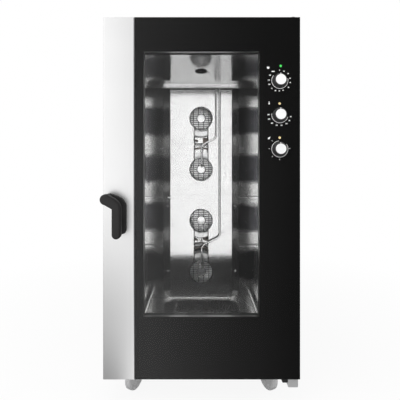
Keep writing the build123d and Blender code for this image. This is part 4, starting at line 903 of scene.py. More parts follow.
class Recipe(Tree):
    """A geometry node tree with named inputs, run once on a host mesh."""

    def __init__(self, name: str, finish: Finish) -> None:
        """Starts a tree for pieces of one finish, with a geometry input and output.

        Args:
            name: what the tree makes.
            finish: the pieces' finish.
        """
        label = f"{name} {finish.value.name}"
        super().__init__(bpy.data.node_groups.new(label, "GeometryNodeTree"))
        self.finish = finish
        for way in ("INPUT", "OUTPUT"):
            self.tree.interface.new_socket("Geometry", in_out=way, socket_type="NodeSocketGeometry")
        self.start = self.node("NodeGroupInput")

    @property
    def host(self) -> Socket:
        """The host mesh."""
        return self.start.outputs["Geometry"]

    def ask(self, label: str, default: object) -> Socket:
        """Adds a named input, whose kind is that of its default, and gives its socket.

        Args:
            label: name of the input.
            default: a length, a count or a vector.

        Returns:
            The socket.
        """
        kind = {float: "Float", int: "Int", tuple: "Vector"}[type(default)]
        socket = self.tree.interface.new_socket(
            label, in_out="INPUT", socket_type=f"NodeSocket{kind}"
        )
        socket.default_value = default
        return self.start.outputs[label]

    def end(self, geometry: Socket) -> "Recipe":
        """Ends the tree in real geometry with its material.

        Args:
            geometry: what the tree has made.

        Returns:
            The recipe.
        """
        real = self.node("GeometryNodeRealizeInstances", geometry).outputs[0]
        paint = self.node("GeometryNodeSetMaterial", real, Material=self.finish.material)
        self.node("NodeGroupOutput", paint.outputs[0])
        return self

    def run(
        self, name: str, host: bpy.types.Mesh, body: str, node: str | None = None, **sizes: object
    ) -> Object:
        """Runs the tree on a mesh and keeps the result as a plain mesh.

        Args:
            name: name of the piece.
            host: the mesh that the tree starts from.
            body: the body that carries the piece.
            node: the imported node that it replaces.
            sizes: values of the named inputs, with underscores for blanks.

        Returns:
            The finished object, with no modifier left.
        """
        piece = place_in_scene(name, host)
        modifier = piece.modifiers.new("recipe", "NODES")
        modifier.node_group = self.tree
        for item in self.tree.interface.items_tree:
            label = item.name.replace(" ", "_")
            if item.item_type == "SOCKET" and item.in_out == "INPUT" and label in sizes:
                modifier[item.identifier] = sizes[label]
        bpy.context.view_layer.update()
        graph = bpy.context.evaluated_depsgraph_get()
        solid = bpy.data.meshes.new_from_object(piece.evaluated_get(graph))
        solid.name = name
        piece.modifiers.clear()
        piece.data = solid
        if host.users == 0:
            bpy.data.meshes.remove(host)
        return settle(piece, body, node)

    @classmethod
    def tube(cls, finish: Finish) -> "Recipe":
        """Round tube along a route, with tangent bends.

        Args:
            finish: its finish.

        Returns:
            The recipe.
        """
        recipe = cls("Tube", finish)
        radius = recipe.ask("Radius", 6 * MM)
        bend = recipe.ask("Bend Radius", 30 * MM)
        sides = recipe.ask("Sides", 16)
        path = recipe.node("GeometryNodeMeshToCurve", recipe.host).outputs[0]
        fillet = recipe.node(
            "GeometryNodeFilletCurve", path, 10, mode="POLY", Radius=bend, Limit_Radius=True
        )
        circle = recipe.node("GeometryNodeCurvePrimitiveCircle", sides, Radius=radius)
        sweep = recipe.node(
            "GeometryNodeCurveToMesh", fillet.outputs[0], circle.outputs[0], Fill_Caps=True
        )
        return recipe.end(sweep.outputs[0])

    @classmethod
    def screws(
        cls, finish: Finish, taper: float = 0.82, drive: float = 0.5, sunk: float = 0.55
    ) -> "Recipe":
        """Screw heads with a sunk drive, one at each point, facing one way.

        Args:
            finish: their finish.
            taper: width of a head's top over that of its foot.
            drive: width of the drive over that of the top.
            sunk: depth of the drive over the head's height.

        Returns:
            The recipe.
        """
        recipe = cls("Screws", finish)
        radius = recipe.ask("Head Radius", 4 * MM)
        height = recipe.ask("Head Height", 2.5 * MM)
        sides = recipe.ask("Sides", 20)
        facing = recipe.ask("Facing", (0.0, -1.0, 0.0))
        head = recipe.node(
            "GeometryNodeMeshCone", sides, fill_type="NGON",
            Radius_Top=recipe.maths("MULTIPLY", radius, taper), Radius_Bottom=radius, Depth=height,
        )
        rim = recipe.node(
            "GeometryNodeExtrudeMesh", head.outputs["Mesh"], head.outputs["Top"], mode="FACES",
            Offset_Scale=0.0, Individual=False,
        )
        shrink = recipe.node(
            "GeometryNodeScaleElements", rim.outputs["Mesh"], rim.outputs["Top"], drive,
            domain="FACE",
        )
        sink = recipe.node(
            "GeometryNodeExtrudeMesh", shrink.outputs[0], rim.outputs["Top"], mode="FACES",
            Offset_Scale=recipe.maths("MULTIPLY", height, -sunk), Individual=False,
        )
        turn = recipe.node("FunctionNodeAlignRotationToVector", axis="Z", Vector=facing)
        place = recipe.node(
            "GeometryNodeInstanceOnPoints", recipe.host, Instance=sink.outputs["Mesh"],
            Rotation=turn.outputs[0],
        )
        return recipe.end(place.outputs[0])

    @classmethod
    def spokes(cls, finish: Finish) -> "Recipe":
        """Copies of the host mesh, spaced evenly in a circle round an axis through a centre.

        Args:
            finish: their finish.

        Returns:
            The recipe.
        """
        recipe = cls("Spokes", finish)
        count = recipe.ask("Count", 12)
        centre = recipe.ask("Centre", (0.0, 0.0, 0.0))
        tilt = recipe.ask("Tilt", (0.0, 0.0, 0.0))
        points = recipe.node("GeometryNodePoints", count, centre).outputs[0]
        index = recipe.node("GeometryNodeInputIndex").outputs[0]
        angle = recipe.maths("MULTIPLY", index, recipe.maths("DIVIDE", 2 * math.pi, count))
        spin = recipe.node("ShaderNodeCombineXYZ", Z=angle).outputs[0]
        turned = recipe.node("FunctionNodeRotateEuler", spin, tilt).outputs[0]
        place = recipe.node(
            "GeometryNodeInstanceOnPoints", points, Instance=recipe.host, Rotation=turned
        )
        return recipe.end(place.outputs[0])


def fasten(
    name: str, points: list[Point], finish: Finish, head_mm: float, height_mm: float, facing: Point,
    body: str = "cabinet", node: str | None = None, sides: int = 20,
) -> None:
    """Adds a group of screws.

    Args:
        name: name of the piece.
        points: where the heads rest on the surface.
        finish: their finish.
        head_mm: radius of a head in millimetres.
        height_mm: height of a head in millimetres.
        facing: direction that the heads face.
        body: body that the screws ride on.
        node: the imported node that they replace.
        sides: number of sides, 6 for hexagonal heads.
    """
    Recipe.screws(finish).run(
        name, routes(*([spot] for spot in points)), body, node, Head_Radius=head_mm * MM,
        Head_Height=height_mm * MM, Sides=sides, Facing=facing,
    )


# Sub-assemblies


@dataclass
class Cabinet:
    """Outer panels, base frame and the fixed parts behind them, with sizes in millimetres."""

    layout: Layout
    screw_inset: float = 9.0
    screw_pitch: float = 210.0
    screw_radius: float = 4.5
    finishes: dict[str, Finish] = field(
        default_factory=lambda: {
            "base_frame": Finish.PANEL,
            "left_side_panel": Finish.PANEL,
            "right_side_panel": Finish.PANEL,
            "top_panel": Finish.TOP,
            "rear_panel": Finish.PANEL,
            "front_frame": Finish.PANEL,
            "insulation": Finish.WOOL,
            "door_gasket": Finish.RUBBER,
            "fan_motors": Finish.MOTOR,
            "water_valves": Finish.BRASS,
            "water_feed_pipe": Finish.BRASS,
            "steam_vent_pipe": Finish.TUBE,
            "vent_damper": Finish.TUBE,
            "damper_motor": Finish.MOTOR,
            "drain_pipe": Finish.TUBE,
            "drain_strainer": Finish.LINER,
            "power_contactors": Finish.CONTACTOR,
            "cable_gland": Finish.HANDLE,
            "temperature_probe": Finish.TUBE,
            "upper_hinge_bracket": Finish.PANEL,
            "lower_hinge_bracket": Finish.ZINC,
            "cable_sleeve": Finish.RUBBER,
            "latch_strike": Finish.ZINC,
        }
    )

    def build(self) -> None:
        """Dresses the cabinet and fastens its panels."""
        dress(self.finishes)
        self.rear_screws()
        self.side_screws()
        self.top_screws()
        self.front_screws()

    def spaced(self, low: float, high: float) -> list[float]:
        """Evenly spaced places between two ends, near the wanted pitch."""
        count = max(1, round((high - low) / (self.screw_pitch * MM)))
        return [low + (high - low) * i / count for i in range(count + 1)]

    def screws(self, panel: str, points: list[Point], height_mm: float, facing: Point) -> None:
        """Fastens a panel with its screws, which rise by a height in millimetres."""
        fasten(f"{panel}_screws", points, Finish.ZINC, self.screw_radius, height_mm, facing)

    def rear_screws(self) -> None:
        """Screws along the edges of the rear panel."""
        low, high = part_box("rear_panel")
        edge = self.screw_inset * MM
        sides = (low.x + edge, high.x - edge)
        rows = self.spaced(low.z + 2 * edge, high.z - edge)
        points = [(x, high.y, z) for z in rows for x in sides]
        points += [(x, high.y, high.z - edge) for x in self.spaced(*sides)[1:-1]]
        self.screws("rear_panel", points, 2.4, (0.0, 1.0, 0.0))

    def side_screws(self, edge: float = 40 * MM, rise: float = 30 * MM, head: float = 0.6) -> None:
        """Flat screws low on both side panels.

        Args:
            edge: how far from the panel's ends.
            rise: how far above its lower end.
            head: height of a head in millimetres.
        """
        for panel, sign in (("left_side_panel", -1.0), ("right_side_panel", 1.0)):
            low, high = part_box(panel)
            x = (low.x if sign < 0 else high.x) - sign * head * MM
            points = [(x, y, low.z + rise) for y in self.spaced(low.y + edge, high.y - edge)]
            self.screws(panel, points, head, (sign, 0.0, 0.0))

    def top_screws(self, front: float = 60 * MM, rear: float = 20 * MM) -> None:
        """Screws along the top panel's sides, kept off its front and rear edges.

        Args:
            front: how far from the front edge.
            rear: how far from the rear edge.
        """
        low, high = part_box("top_panel")
        rows = self.spaced(low.y + front, high.y - rear)
        sides = (low.x + self.screw_inset * MM, high.x - self.screw_inset * MM)
        points = [(x, y, high.z) for y in rows for x in sides]
        self.screws("top_panel", points, 2.4, (0.0, 0.0, 1.0))

    def front_screws(self, edge: float = 30 * MM) -> None:
        """Screws of the front frame, seen when the door is open.

        Args:
            edge: how far from the frame's corners.
        """
        low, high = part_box("front_frame")
        rows = self.spaced(low.z + edge, high.z - edge)
        points = [(x, low.y, z) for z in rows for x in (low.x + edge, high.x - edge)]
        self.screws("front_frame", points, 2.0, (0.0, -1.0, 0.0))


@dataclass
class Chamber:
    """Bright steel chamber with its baffle, guards and pipes, with sizes in millimetres."""

    layout: Layout
    guard_radius: float = 71.0
    guard_rim_wire: float = 2.4
    guard_bar_wire: float = 1.9
    guard_bar_pitch: float = 13.0
    guard_posts: tuple[float, ...] = (-48.0, -16.0, 16.0, 48.0)
    guard_waist: float = 44.0
    guard_centre: float = 27.0
    guard_bend: float = 8.0
    guard_foot_gap: float = 2.8
    pipe_radius: float = 6.0
    pipe_depth: float = 495.0
    pipe_drop_x: float = 4.0
    pipe_bend: float = 34.0
    tip_depth: float = 530.0
    tip_above_hub: float = 17.0
    screw_half_span: float = 168.0
    screw_below_joint: float = 8.0
    screw_above_foot: float = 14.7
    finishes: dict[str, Finish] = field(
        default_factory=lambda: {
            "oven_chamber": Finish.LINER,
            "baffle_panels": Finish.BAFFLE,
            "baffle_supports": Finish.TUBE,
            "heating_elements": Finish.ELEMENT,
        }
    )

    def build(self) -> None:
        """Dresses the chamber's nodes and makes its guards, pipes and screws."""
        dress(self.finishes)
        self.guards()
        self.pipe("water_pipe_upper", 1, 94.0, (38.0, -8.0))
        self.pipe("water_pipe_lower", 3, 116.0, (62.0, 8.0))
        self.screws()

    def guards(self) -> None:
        """Wire guard in front of each fan eye, with legs to the nearest joint of the baffle."""
        low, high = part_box("fan_guards")
        y = (low.y + high.y) / 2
        rims, wires = [], []
        radius, waist = self.guard_radius * MM, self.guard_waist * MM
        for index, fan in enumerate(self.layout.fans):
            toward = -1.0 if index % 2 == 0 else 1.0
            start = fan.z + toward * math.sqrt(radius**2 - waist**2)
            foot = fan.z + toward * (self.layout.fan_pitch / 2 - self.guard_foot_gap * MM)
            rims.append(self.ring(radius, y, fan.z))
            rims.append(
                [(-waist, y, start), (-waist, y, foot), (waist, y, foot), (waist, y, start)]
            )
            wires.append(self.ring(self.guard_centre * MM, y - 0.5 * MM, fan.z))
            wires += self.bars(y, fan.z)
        tube = Recipe.tube(Finish.WIRE)
        for name, lines, wire, sides, node in (
            ("fan_guard_rims", rims, self.guard_rim_wire, 12, "fan_guards"),
            ("fan_guard_wires", wires, self.guard_bar_wire, 8, None),
        ):
            sizes = {"Radius": wire * MM, "Bend_Radius": self.guard_bend * MM, "Sides": sides}
            tube.run(name, routes(*lines), "cabinet", node, **sizes)

    def ring(self, radius: float, y: float, z: float) -> list[Point]:
        """Closed ring of points round a fan's axis."""
        return [(x, y, height) for x, height in arc((0.0, z), radius, 0.0, 360.0, 64)]

    def bars(self, y: float, z: float) -> list[list[Point]]:
        """Straight wires of one guard, left open in the middle for the water pipe.

        Args:
            y: depth of the guard.
            z: height of its fan.

        Returns:
            The ends of each wire.
        """
        count = int(self.guard_radius // self.guard_bar_pitch)
        lines = []
        for offset in (i * self.guard_bar_pitch * MM for i in range(-count, count + 1)):
            for start, end in self.cut_chord(offset):
                lines.append([(x, y - 1.2 * MM, z + offset) for x in (start, end)])
        for x in (post * MM for post in self.guard_posts):
            for start, end in self.cut_chord(x):
                lines.append([(x, y + 0.9 * MM, z + rise) for rise in (start, end)])
        return lines

    def cut_chord(self, offset: float) -> list[tuple[float, float]]:
        """Chord of the guard at an offset, without its stretch inside the middle ring.

        Args:
            offset: how far the wire is from the axis.

        Returns:
            Start and end of each stretch.
        """
        half = math.sqrt((self.guard_radius * MM) ** 2 - offset**2)
        centre = self.guard_centre * MM
        if abs(offset) >= centre:
            return [(-half, half)]
        gap = math.sqrt(centre**2 - offset**2)
        return [(-half, -gap), (gap, half)]

    def pipe(self, node: str, fan: int, start_x: float, turns: tuple[float, float]) -> None:
        """Water pipe from the ceiling to a fan's hub.

        Args:
            node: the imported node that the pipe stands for.
            fan: index of the fan, from the top.
            start_x: where the pipe comes through the ceiling, in millimetres.
            turns: heights of its two turns above the baffle joint over that fan, in millimetres.
        """
        y, tip_y = self.layout.depth(self.pipe_depth), self.layout.depth(self.tip_depth)
        hub = self.layout.fans[fan].z
        joint, tip = hub + self.layout.fan_pitch / 2, hub + self.tip_above_hub * MM
        x, drop = start_x * MM, self.pipe_drop_x * MM
        line = [
            (x, y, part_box(node)[1].z),
            (x, y, joint + turns[0] * MM),
            (drop, y, joint + turns[1] * MM),
            (drop, y, tip),
            (drop, tip_y, tip),
        ]
        sizes = {"Radius": self.pipe_radius * MM, "Bend_Radius": self.pipe_bend * MM, "Sides": 20}
        Recipe.tube(Finish.TUBE).run(f"{node}_tube", routes(line), "cabinet", node, **sizes)

    def screws(self) -> None:
        """Screws that hold the baffle panels."""
        low = self.layout.baffle_low
        below = self.layout.fan_pitch / 2 + self.screw_below_joint * MM
        heights = [fan.z - below for fan in self.layout.fans[:-1]]
        heights.append(low.z + self.screw_above_foot * MM)
        half, y = self.screw_half_span * MM, low.y - 0.05 * MM
        points = [(x, y, z) for z in heights for x in (-half, half)]
        fasten(
            "baffle_screw_heads", points, Finish.WIRE, 5.5, 3.4, (0.0, -1.0, 0.0),
            node="baffle_screws",
        )


@dataclass
class FanBank:
    """The four fan wheels behind the baffle, with radii and depths in millimetres."""

    layout: Layout
    blades: int = 16
    blade_inner: float = 62.0
    blade_outer: float = 109.0
    blade_thickness: float = 1.6
    blade_lean_deg: float = 34.0
    rim: float = 110.0
    eye: float = 84.0
    front: float = 533.5
    back: float = 599.0
    hub: float = 562.0
    shaft_end: float = 809.0

    def build(self) -> None:
        """Makes the fan wheels."""
        for index, spot in enumerate(self.layout.fans):
            self.wheel(f"fan_{index + 1}", (0.0, 0.0, spot.z))

    def wheel(self, name: str, centre: Point) -> None:
        """One fan wheel with curved blades, hub, nut and shaft.

        Args:
            name: name of the wheel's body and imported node.
            centre: a point on its axis, at depth 0.
        """
        place = Way.BACK.at(centre)
        rim, eye, front, back, hub = self.rim, self.eye, self.front, self.back, self.hub
        disc = [(0, back - 3), (rim, back - 3), (rim, back), (0, back)]
        ring = [(eye, front), (rim, front), (rim, front + 2), (eye, front + 3), (eye, front)]
        boss = [(0, hub + 1.6), (22, hub + 1.6), (22, back - 2), (0, back - 2)]
        shaft = [(0, back), (7, back), (7, self.shaft_end), (0, self.shaft_end)]
        nut = [(0, hub - 14), (10.5, hub - 14), (12.5, hub - 12), (12.5, hub), (0, hub)]
        washer = [(0, hub), (21, hub), (21.5, hub + 0.5), (21.5, hub + 1.5), (0, hub + 1.5)]
        wheel, cap = Shape(f"{name}_wheel"), Shape(f"{name}_nut")
        for shape, profile, steps in (
            (wheel, disc, 64), (wheel, ring, 64), (wheel, boss, 64), (wheel, shaft, 24),
            (cap, nut, 6), (cap, washer, 32),
        ):
            shape.turned(self.layout.along(*profile), place, steps)
        wheel.publish(Finish.FAN, name, name)
        cap.publish(Finish.NUT, name)
        Recipe.spokes(Finish.FAN).run(
            f"{name}_blades", self.blade(), name, Count=self.blades, Centre=centre,
            Tilt=(-math.pi / 2, 0.0, 0.0),
        )

    def blade(self, steps: int = 6) -> bpy.types.Mesh:
        """One curved blade, drawn about the fan's axis as Z.

        Args:
            steps: faces along its curve.

        Returns:
            Its mesh.
        """
        outer, inner = [], []
        for share in (i / steps for i in range(steps + 1)):
            radius = self.blade_inner + (self.blade_outer - self.blade_inner) * share
            angle = math.radians(self.blade_lean_deg) * (1 - share) ** 1.5
            half = self.blade_thickness / radius / 2
            for side, turn in ((outer, angle + half), (inner, angle - half)):
                side.append((radius * math.cos(turn), radius * math.sin(turn)))
        shape = Shape("blade")
        start = Matrix.Translation((0.0, 0.0, self.layout.depth(self.front + 2)))
        outline = mm(*inner, *reversed(outer))
        shape.plate(outline, (self.back - self.front - 4) * MM, start)
        return shape.mesh()


@dataclass
class Door:
    """Door shell, its glass panes and the print behind the outer one."""

    layout: Layout
    screw_margin: float = 14 * MM
    screw_rows: int = 7
    finishes: dict[str, Finish] = field(
        default_factory=lambda: {
            "door_frame": Finish.DOOR_BACK,
            "door_outer_glass": Finish.OUTER_GLASS,
            "glass_print": Finish.ENAMEL,
            "door_stile": Finish.STILE,
            "window_spacer": Finish.SPACER,
            "window_seal": Finish.RUBBER,
            "inner_glass": Finish.INNER_GLASS,
            "inner_glass_frame": Finish.DOOR_BACK,
            "control_board": Finish.BOARD,
        }
    )

    def build(self) -> None:
        """Dresses the door and puts the screws round the window on its inner face."""
        dress(self.finishes)
        low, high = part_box("inner_glass_frame")
        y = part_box("door_frame")[1].y - 0.5 * MM
        margin = self.screw_margin
        foot, height = low.z - margin, high.z - low.z + 2 * margin
        rows = [foot + height * i / (self.screw_rows - 1) for i in range(self.screw_rows)]
        points = [(x, y, z) for z in rows for x in (low.x - margin, high.x + margin)]
        fasten("door_inner_screws", points, Finish.ZINC, 4.2, 0.5, (0.0, 1.0, 0.0), "door")


@dataclass
class Handle:
    """Hooked handle on its base, with sizes in millimetres.

    Outlines are seen from the front, counter-clockwise from the lower left, round the pivot.
    """

    layout: Layout
    half_width: float = 20.4
    tip_radius: float = 24.4
    grip_offset: float = 49.8
    grip_bottom: float = 862.0
    base_right: float = 79.4
    base_drop: float = 12.0
    lever_front: float = -88.0
    lever_back: float = -50.0
    base_front: float = -15.1
    base_back: float = -0.1

    def build(self) -> None:
        """Makes the lever and its base."""
        pivot = self.layout.joints["handle_turn"]
        grip_z = self.grip_bottom - pivot.z / MM
        lever = Shape("handle_grip", 50.0)
        depth = (self.lever_back - self.lever_front) * MM
        outline = moved(self.lever_outline(grip_z), pivot)
        lever.plate(outline, depth, self.at(self.lever_back), 9 * MM, 6)
        start, end = self.lever_back - 8, self.base_front - 0.3
        boss = self.layout.along((0, start), (18.5, start), (18.5, end - 1), (17.5, end), (0, end))
        lever.turned(boss, Way.BACK.at((pivot.x, 0.0, pivot.z)), 48)
        lever.publish(Finish.HANDLE, "latch", "handle_lever")
        dress({"latch_hook": Finish.ZINC})
        base = Shape("handle_plate", 50.0)
        outline = moved(self.base_outline(grip_z - self.base_drop), pivot)
        thickness = (self.base_back - self.base_front) * MM
        base.plate(outline, thickness, self.at(self.base_back), 4.5 * MM, 5, False)
        base.publish(Finish.HANDLE, "door", "handle_base")

    def at(self, depth_mm: float) -> Matrix:
        """Place of an outline at a depth, from which it rises towards the viewer."""
        return Way.FRONT.at((0.0, self.layout.depth(depth_mm), 0.0))

    def base_outline(self, bottom: float) -> list[Flat]:
        """Outline of the base plate, whose lower end is at a height.

        Args:
            bottom: height of its lower end over the pivot.

        Returns:
            The outline.
        """
        left, right = self.grip_offset - self.half_width + 3, self.base_right
        return mm(
            (left, bottom), (right - 17, bottom), (right - 6, bottom + 4), (right, bottom + 17),
            (right, -36), (77, -26), (70.5, -16.5), (64, -8), (57, -1), (45, 6.5), (32, 12.5),
            *arc((0.0, 0.0), self.tip_radius - 3, 72.0, 272.0, 26),
            (left, -46),
        )

    def lever_outline(self, grip_z: float) -> list[Flat]:
        """Hooked outline of the lever, whose round lower end is centred at a height.

        Args:
            grip_z: height of that centre over the pivot.

        Returns:
            The outline.
        """
        return mm(
            *arc((self.grip_offset, grip_z), self.half_width, 180.0, 360.0, 24),
            (70.2, -48), (69, -32), (64, -19), (57.5, -10), (49, -1.5), (39, 5.8), (18.5, 16.5),
            *arc((0.0, 0.0), self.tip_radius, 70.0, 260.0, 26),
            (self.grip_offset - self.half_width, -43),
        )


@dataclass
class ControlPanel:
    """Knobs, lamps and the white print round them, with sizes in millimetres."""

    layout: Layout
    skirt_base: float = 34.0
    skirt_neck: float = 26.5
    skirt_height: float = 21.0
    cap_radius: float = 24.3
    cap_height: float = 5.0
    flutes: int = 36
    ring_radius: float = 38.5
    ring_width: float = 1.9
    mark_height: float = 6.4
    mark_weight: float = 0.45
    ink: float = 0.12
    shaft_radius: float = 3.0
    shaft_end: float = 15.7
    knob_base: float = -0.3
    lamp_radius: float = 5.8

    def build(self) -> None:
        """Makes the knobs, prints and lamps."""
        for name in ("mode_knob", "temperature_knob", "steam_knob"):
            self.knob(name)
        self.rings()
        self.numbers("mode_knob", range(0, 130, 10), MODE_MARKS)
        self.numbers("temperature_knob", range(50, 290, 30), HEAT_MARKS)
        self.ticks("steam_knob", STEAM_MARKS)
        self.signs()
        self.lamps()

    def spot(self, knob: str, x_mm: float = 0.0, z_mm: float = 0.0) -> Vector:
        """Place on the door's face, in millimetres from a knob's centre."""
        joint = self.layout.joints[f"{knob}_turn"]
        return Vector((joint.x + x_mm * MM, self.layout.face_y, joint.z + z_mm * MM))

    def knob(self, name: str) -> None:
        """One knob: fluted dark skirt, pale cap, pointer and shaft.

        Args:
            name: name of the knob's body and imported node.
        """
        centre, base = self.spot(name), self.layout.depth(self.knob_base)
        forward = Way.FRONT.at((centre.x, base, centre.z))
        foot, neck, top = self.skirt_base, self.skirt_neck, self.skirt_height
        skirt = Shape(f"{name}_skirt")
        profile = mm(
            (0, 0), (foot, 0), (foot, 2), (foot - 1.6, 4), (neck + 1.5, top - 4), (neck, top - 1),
            (neck - 1, top), (0, top),
        )
        skirt.turned(profile, forward, 96)
        shaft, start, end = self.shaft_radius, self.knob_base, self.shaft_end
        rod = self.layout.along((0, start), (shaft, start), (shaft, end), (0, end))
        skirt.turned(rod, Way.BACK.at((centre.x, 0.0, centre.z)), 20)
        skirt.publish(Finish.SKIRT, name, name)
        cap = Shape(f"{name}_cap")
        edge, face = self.cap_radius, top + self.cap_height
        dish = mm(
            (0, top), (edge - 1, top), (edge, top + 1), (edge, face - 1.8),
            (edge - 0.6, face - 0.6), (edge - 2, face), (edge - 4, face - 0.2), (0, face - 0.6),
        )
        cap.turned(dish, forward, 96)
        cap.publish(Finish.CAP, name)
        Recipe.spokes(Finish.SKIRT).run(
            f"{name}_ribs", self.rib(), name, Count=self.flutes, Centre=(centre.x, base, centre.z),
            Tilt=(math.pi / 2, 0.0, 0.0),
        )
        pointer = Shape(f"{name}_pointer")
        lift = forward @ Matrix.Translation((0.0, 0.0, (top - 12) * MM))
        outline = mm((-1.5, 25), (1.5, 25), (1.1, 31), (-1.1, 31))
        pointer.plate(outline, 12.4 * MM, lift, 0.3 * MM, 2)
        pointer.publish(Finish.CAP, name)

    def rib(self, half: float = 0.7) -> bpy.types.Mesh:
        """One thin rib up the side of a skirt, drawn about the knob's axis as Z.

        Args:
            half: half of its thickness.

        Returns:
            Its mesh.
        """
        foot, neck = self.skirt_base - 1.4, self.skirt_neck + 0.9
        low, high = 3.6, self.skirt_height - 2.5
        corners = ((foot - 2, low), (foot + 0.5, low), (neck + 0.7, high), (neck - 2, high))
        shape = Shape("rib")
        place = Matrix(((1, 0, 0, 0), (0, 0, -1, half * MM), (0, 1, 0, 0), (0, 0, 0, 1)))
        shape.plate(mm(*corners), 2 * half * MM, place)
        return shape.mesh()

    def stamp(self, shape: Shape, outline: list[Flat], place: Matrix) -> None:
        """Adds a printed area, given in millimetres."""
        shape.plate(mm(*outline), self.ink * MM, place)

    def rings(self) -> None:
        """Thin printed arcs round the knobs, open at the top."""
        shape = Shape("dial_rings")
        wide, thin = (self.ring_radius + side * self.ring_width / 2 for side in (1, -1))
        spans = {"mode_knob": (142, 374), "temperature_knob": (172, 344), "steam_knob": (96, 396)}
        for name, (start, end) in spans.items():
            outline = arc((0, 0), wide, start, end, 48) + arc((0, 0), thin, end, start, 48)
            self.stamp(shape, outline, Way.FRONT.at(self.spot(name)))
        shape.publish(Finish.INK, "door")

    def numbers(self, name: str, numbers: Iterable[int], marks: tuple[Flat, ...]) -> None:
        """Plain numbers round a knob.

        Args:
            name: the knob.
            numbers: the numbers, clockwise.
            marks: where they stand, as an angle from the top and a radius in millimetres.
        """
        shape = Shape(f"{name}_numbers")
        place = Way.FRONT.at(self.spot(name))
        for number, (angle, radius) in zip(numbers, marks):
            turn = math.radians(angle)
            spot = (radius * MM * math.sin(turn), radius * MM * math.cos(turn), 0.0)
            self.letter(shape, str(number), place @ Matrix.Translation(spot))
        shape.publish(Finish.INK, "door")

    def letter(self, shape: Shape, label: str, place: Matrix) -> None:
        """Adds a printed number centred on a place.

        Args:
            shape: the print that it joins.
            label: the number.
            place: where its middle goes.
        """
        curve = bpy.data.curves.new("label", "FONT")
        curve.body = label
        curve.size = self.mark_height * MM
        curve.align_x = curve.align_y = "CENTER"
        curve.resolution_u = 2
        curve.offset = self.mark_weight * MM
        curve.extrude = self.ink / 2 * MM
        holder = bpy.data.objects.new("label", curve)
        mesh = bpy.data.meshes.new_from_object(holder)
        mesh.transform(place @ Matrix.Translation((0.0, 0.0, curve.extrude)))
        shape.work.from_mesh(mesh)
        bpy.data.objects.remove(holder)
        bpy.data.curves.remove(curve)
        bpy.data.meshes.remove(mesh)

    def ticks(self, name: str, marks: tuple[Flat, ...]) -> None:
        """Short radial strokes round a knob.

        Args:
            name: the knob.
            marks: where they stand, as an angle from the top and a radius in millimetres.
        """
        shape = Shape(f"{name}_ticks")
        place = Way.FRONT.at(self.spot(name))
        for angle, radius in marks:
            turned = Matrix.Rotation(-math.radians(angle), 4, "Z")
            turned = turned @ Matrix.Translation((0.0, radius * MM, 0.0))
            self.stamp(shape, [(-0.8, -3), (0.8, -3), (0.8, 3), (-0.8, 3)], place @ turned)
        shape.publish(Finish.INK, "door")

    def signs(self) -> None:
        """Small generic signs beside the lamps: a clock, a dash, a thermometer and a drop."""
        clock = [*arc((0, 0), 6.0, 100.0, 440.0, 32), (1.2, 0.0), (-1.0, 0.0)]
        dash = arc((5.5, 0.0), 2.2, -90.0, 90.0, 10) + arc((-5.5, 0.0), 2.2, 90.0, 270.0, 10)
        stem = arc((0, 5.5), 1.5, 0.0, 180.0, 10)
        thermometer = arc((0, -4.5), 3.2, 120.0, 420.0, 24) + stem
        drop = [*arc((0, -2.5), 4.4, 150.0, 390.0, 20), (0.0, 9.0)]
        shape = Shape("dial_signs")
        for knob, outline, side, rise, slant_deg in (
            ("mode_knob", clock, -55.3, 60.7, 0.0),
            ("mode_knob", dash, -32.0, 42.7, 0.0),
            ("temperature_knob", thermometer, -51.0, 56.3, 0.0),
            ("steam_knob", drop, -50.6, 51.9, -40.0),
        ):
            place = Way.FRONT.at(self.spot(knob, side, rise))
            slant = Matrix.Rotation(math.radians(slant_deg), 4, "Z")
            self.stamp(shape, outline, place @ slant)
        shape.publish(Finish.INK, "door")

    def lamps(self) -> None:
        """Three lamps behind the glass, green over the top knob and amber over the others."""
        low, high = (corner.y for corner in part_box("indicator_lamps"))
        radius = self.lamp_radius * MM
        profile = [
            (0, low), (radius - 1.5 * MM, low), (radius - 0.4 * MM, low + 0.4 * MM),
            (radius, low + 1.5 * MM), (radius, high), (0, high),
        ]
        for name, knob, side, rise, finish, node in (
            ("mode_lamp", "mode_knob", 5.0, 69.5, Finish.GREEN, "indicator_lamps"),
            ("heat_lamp", "temperature_knob", 0.0, 53.5, Finish.AMBER, None),
            ("steam_lamp", "steam_knob", 0.0, 53.5, Finish.AMBER, None),
        ):
            spot = self.spot(knob, side, rise)
            shape = Shape(name)
            shape.turned(profile, Way.BACK.at((spot.x, 0.0, spot.z)), 32)
            shape.publish(finish, "door", node)


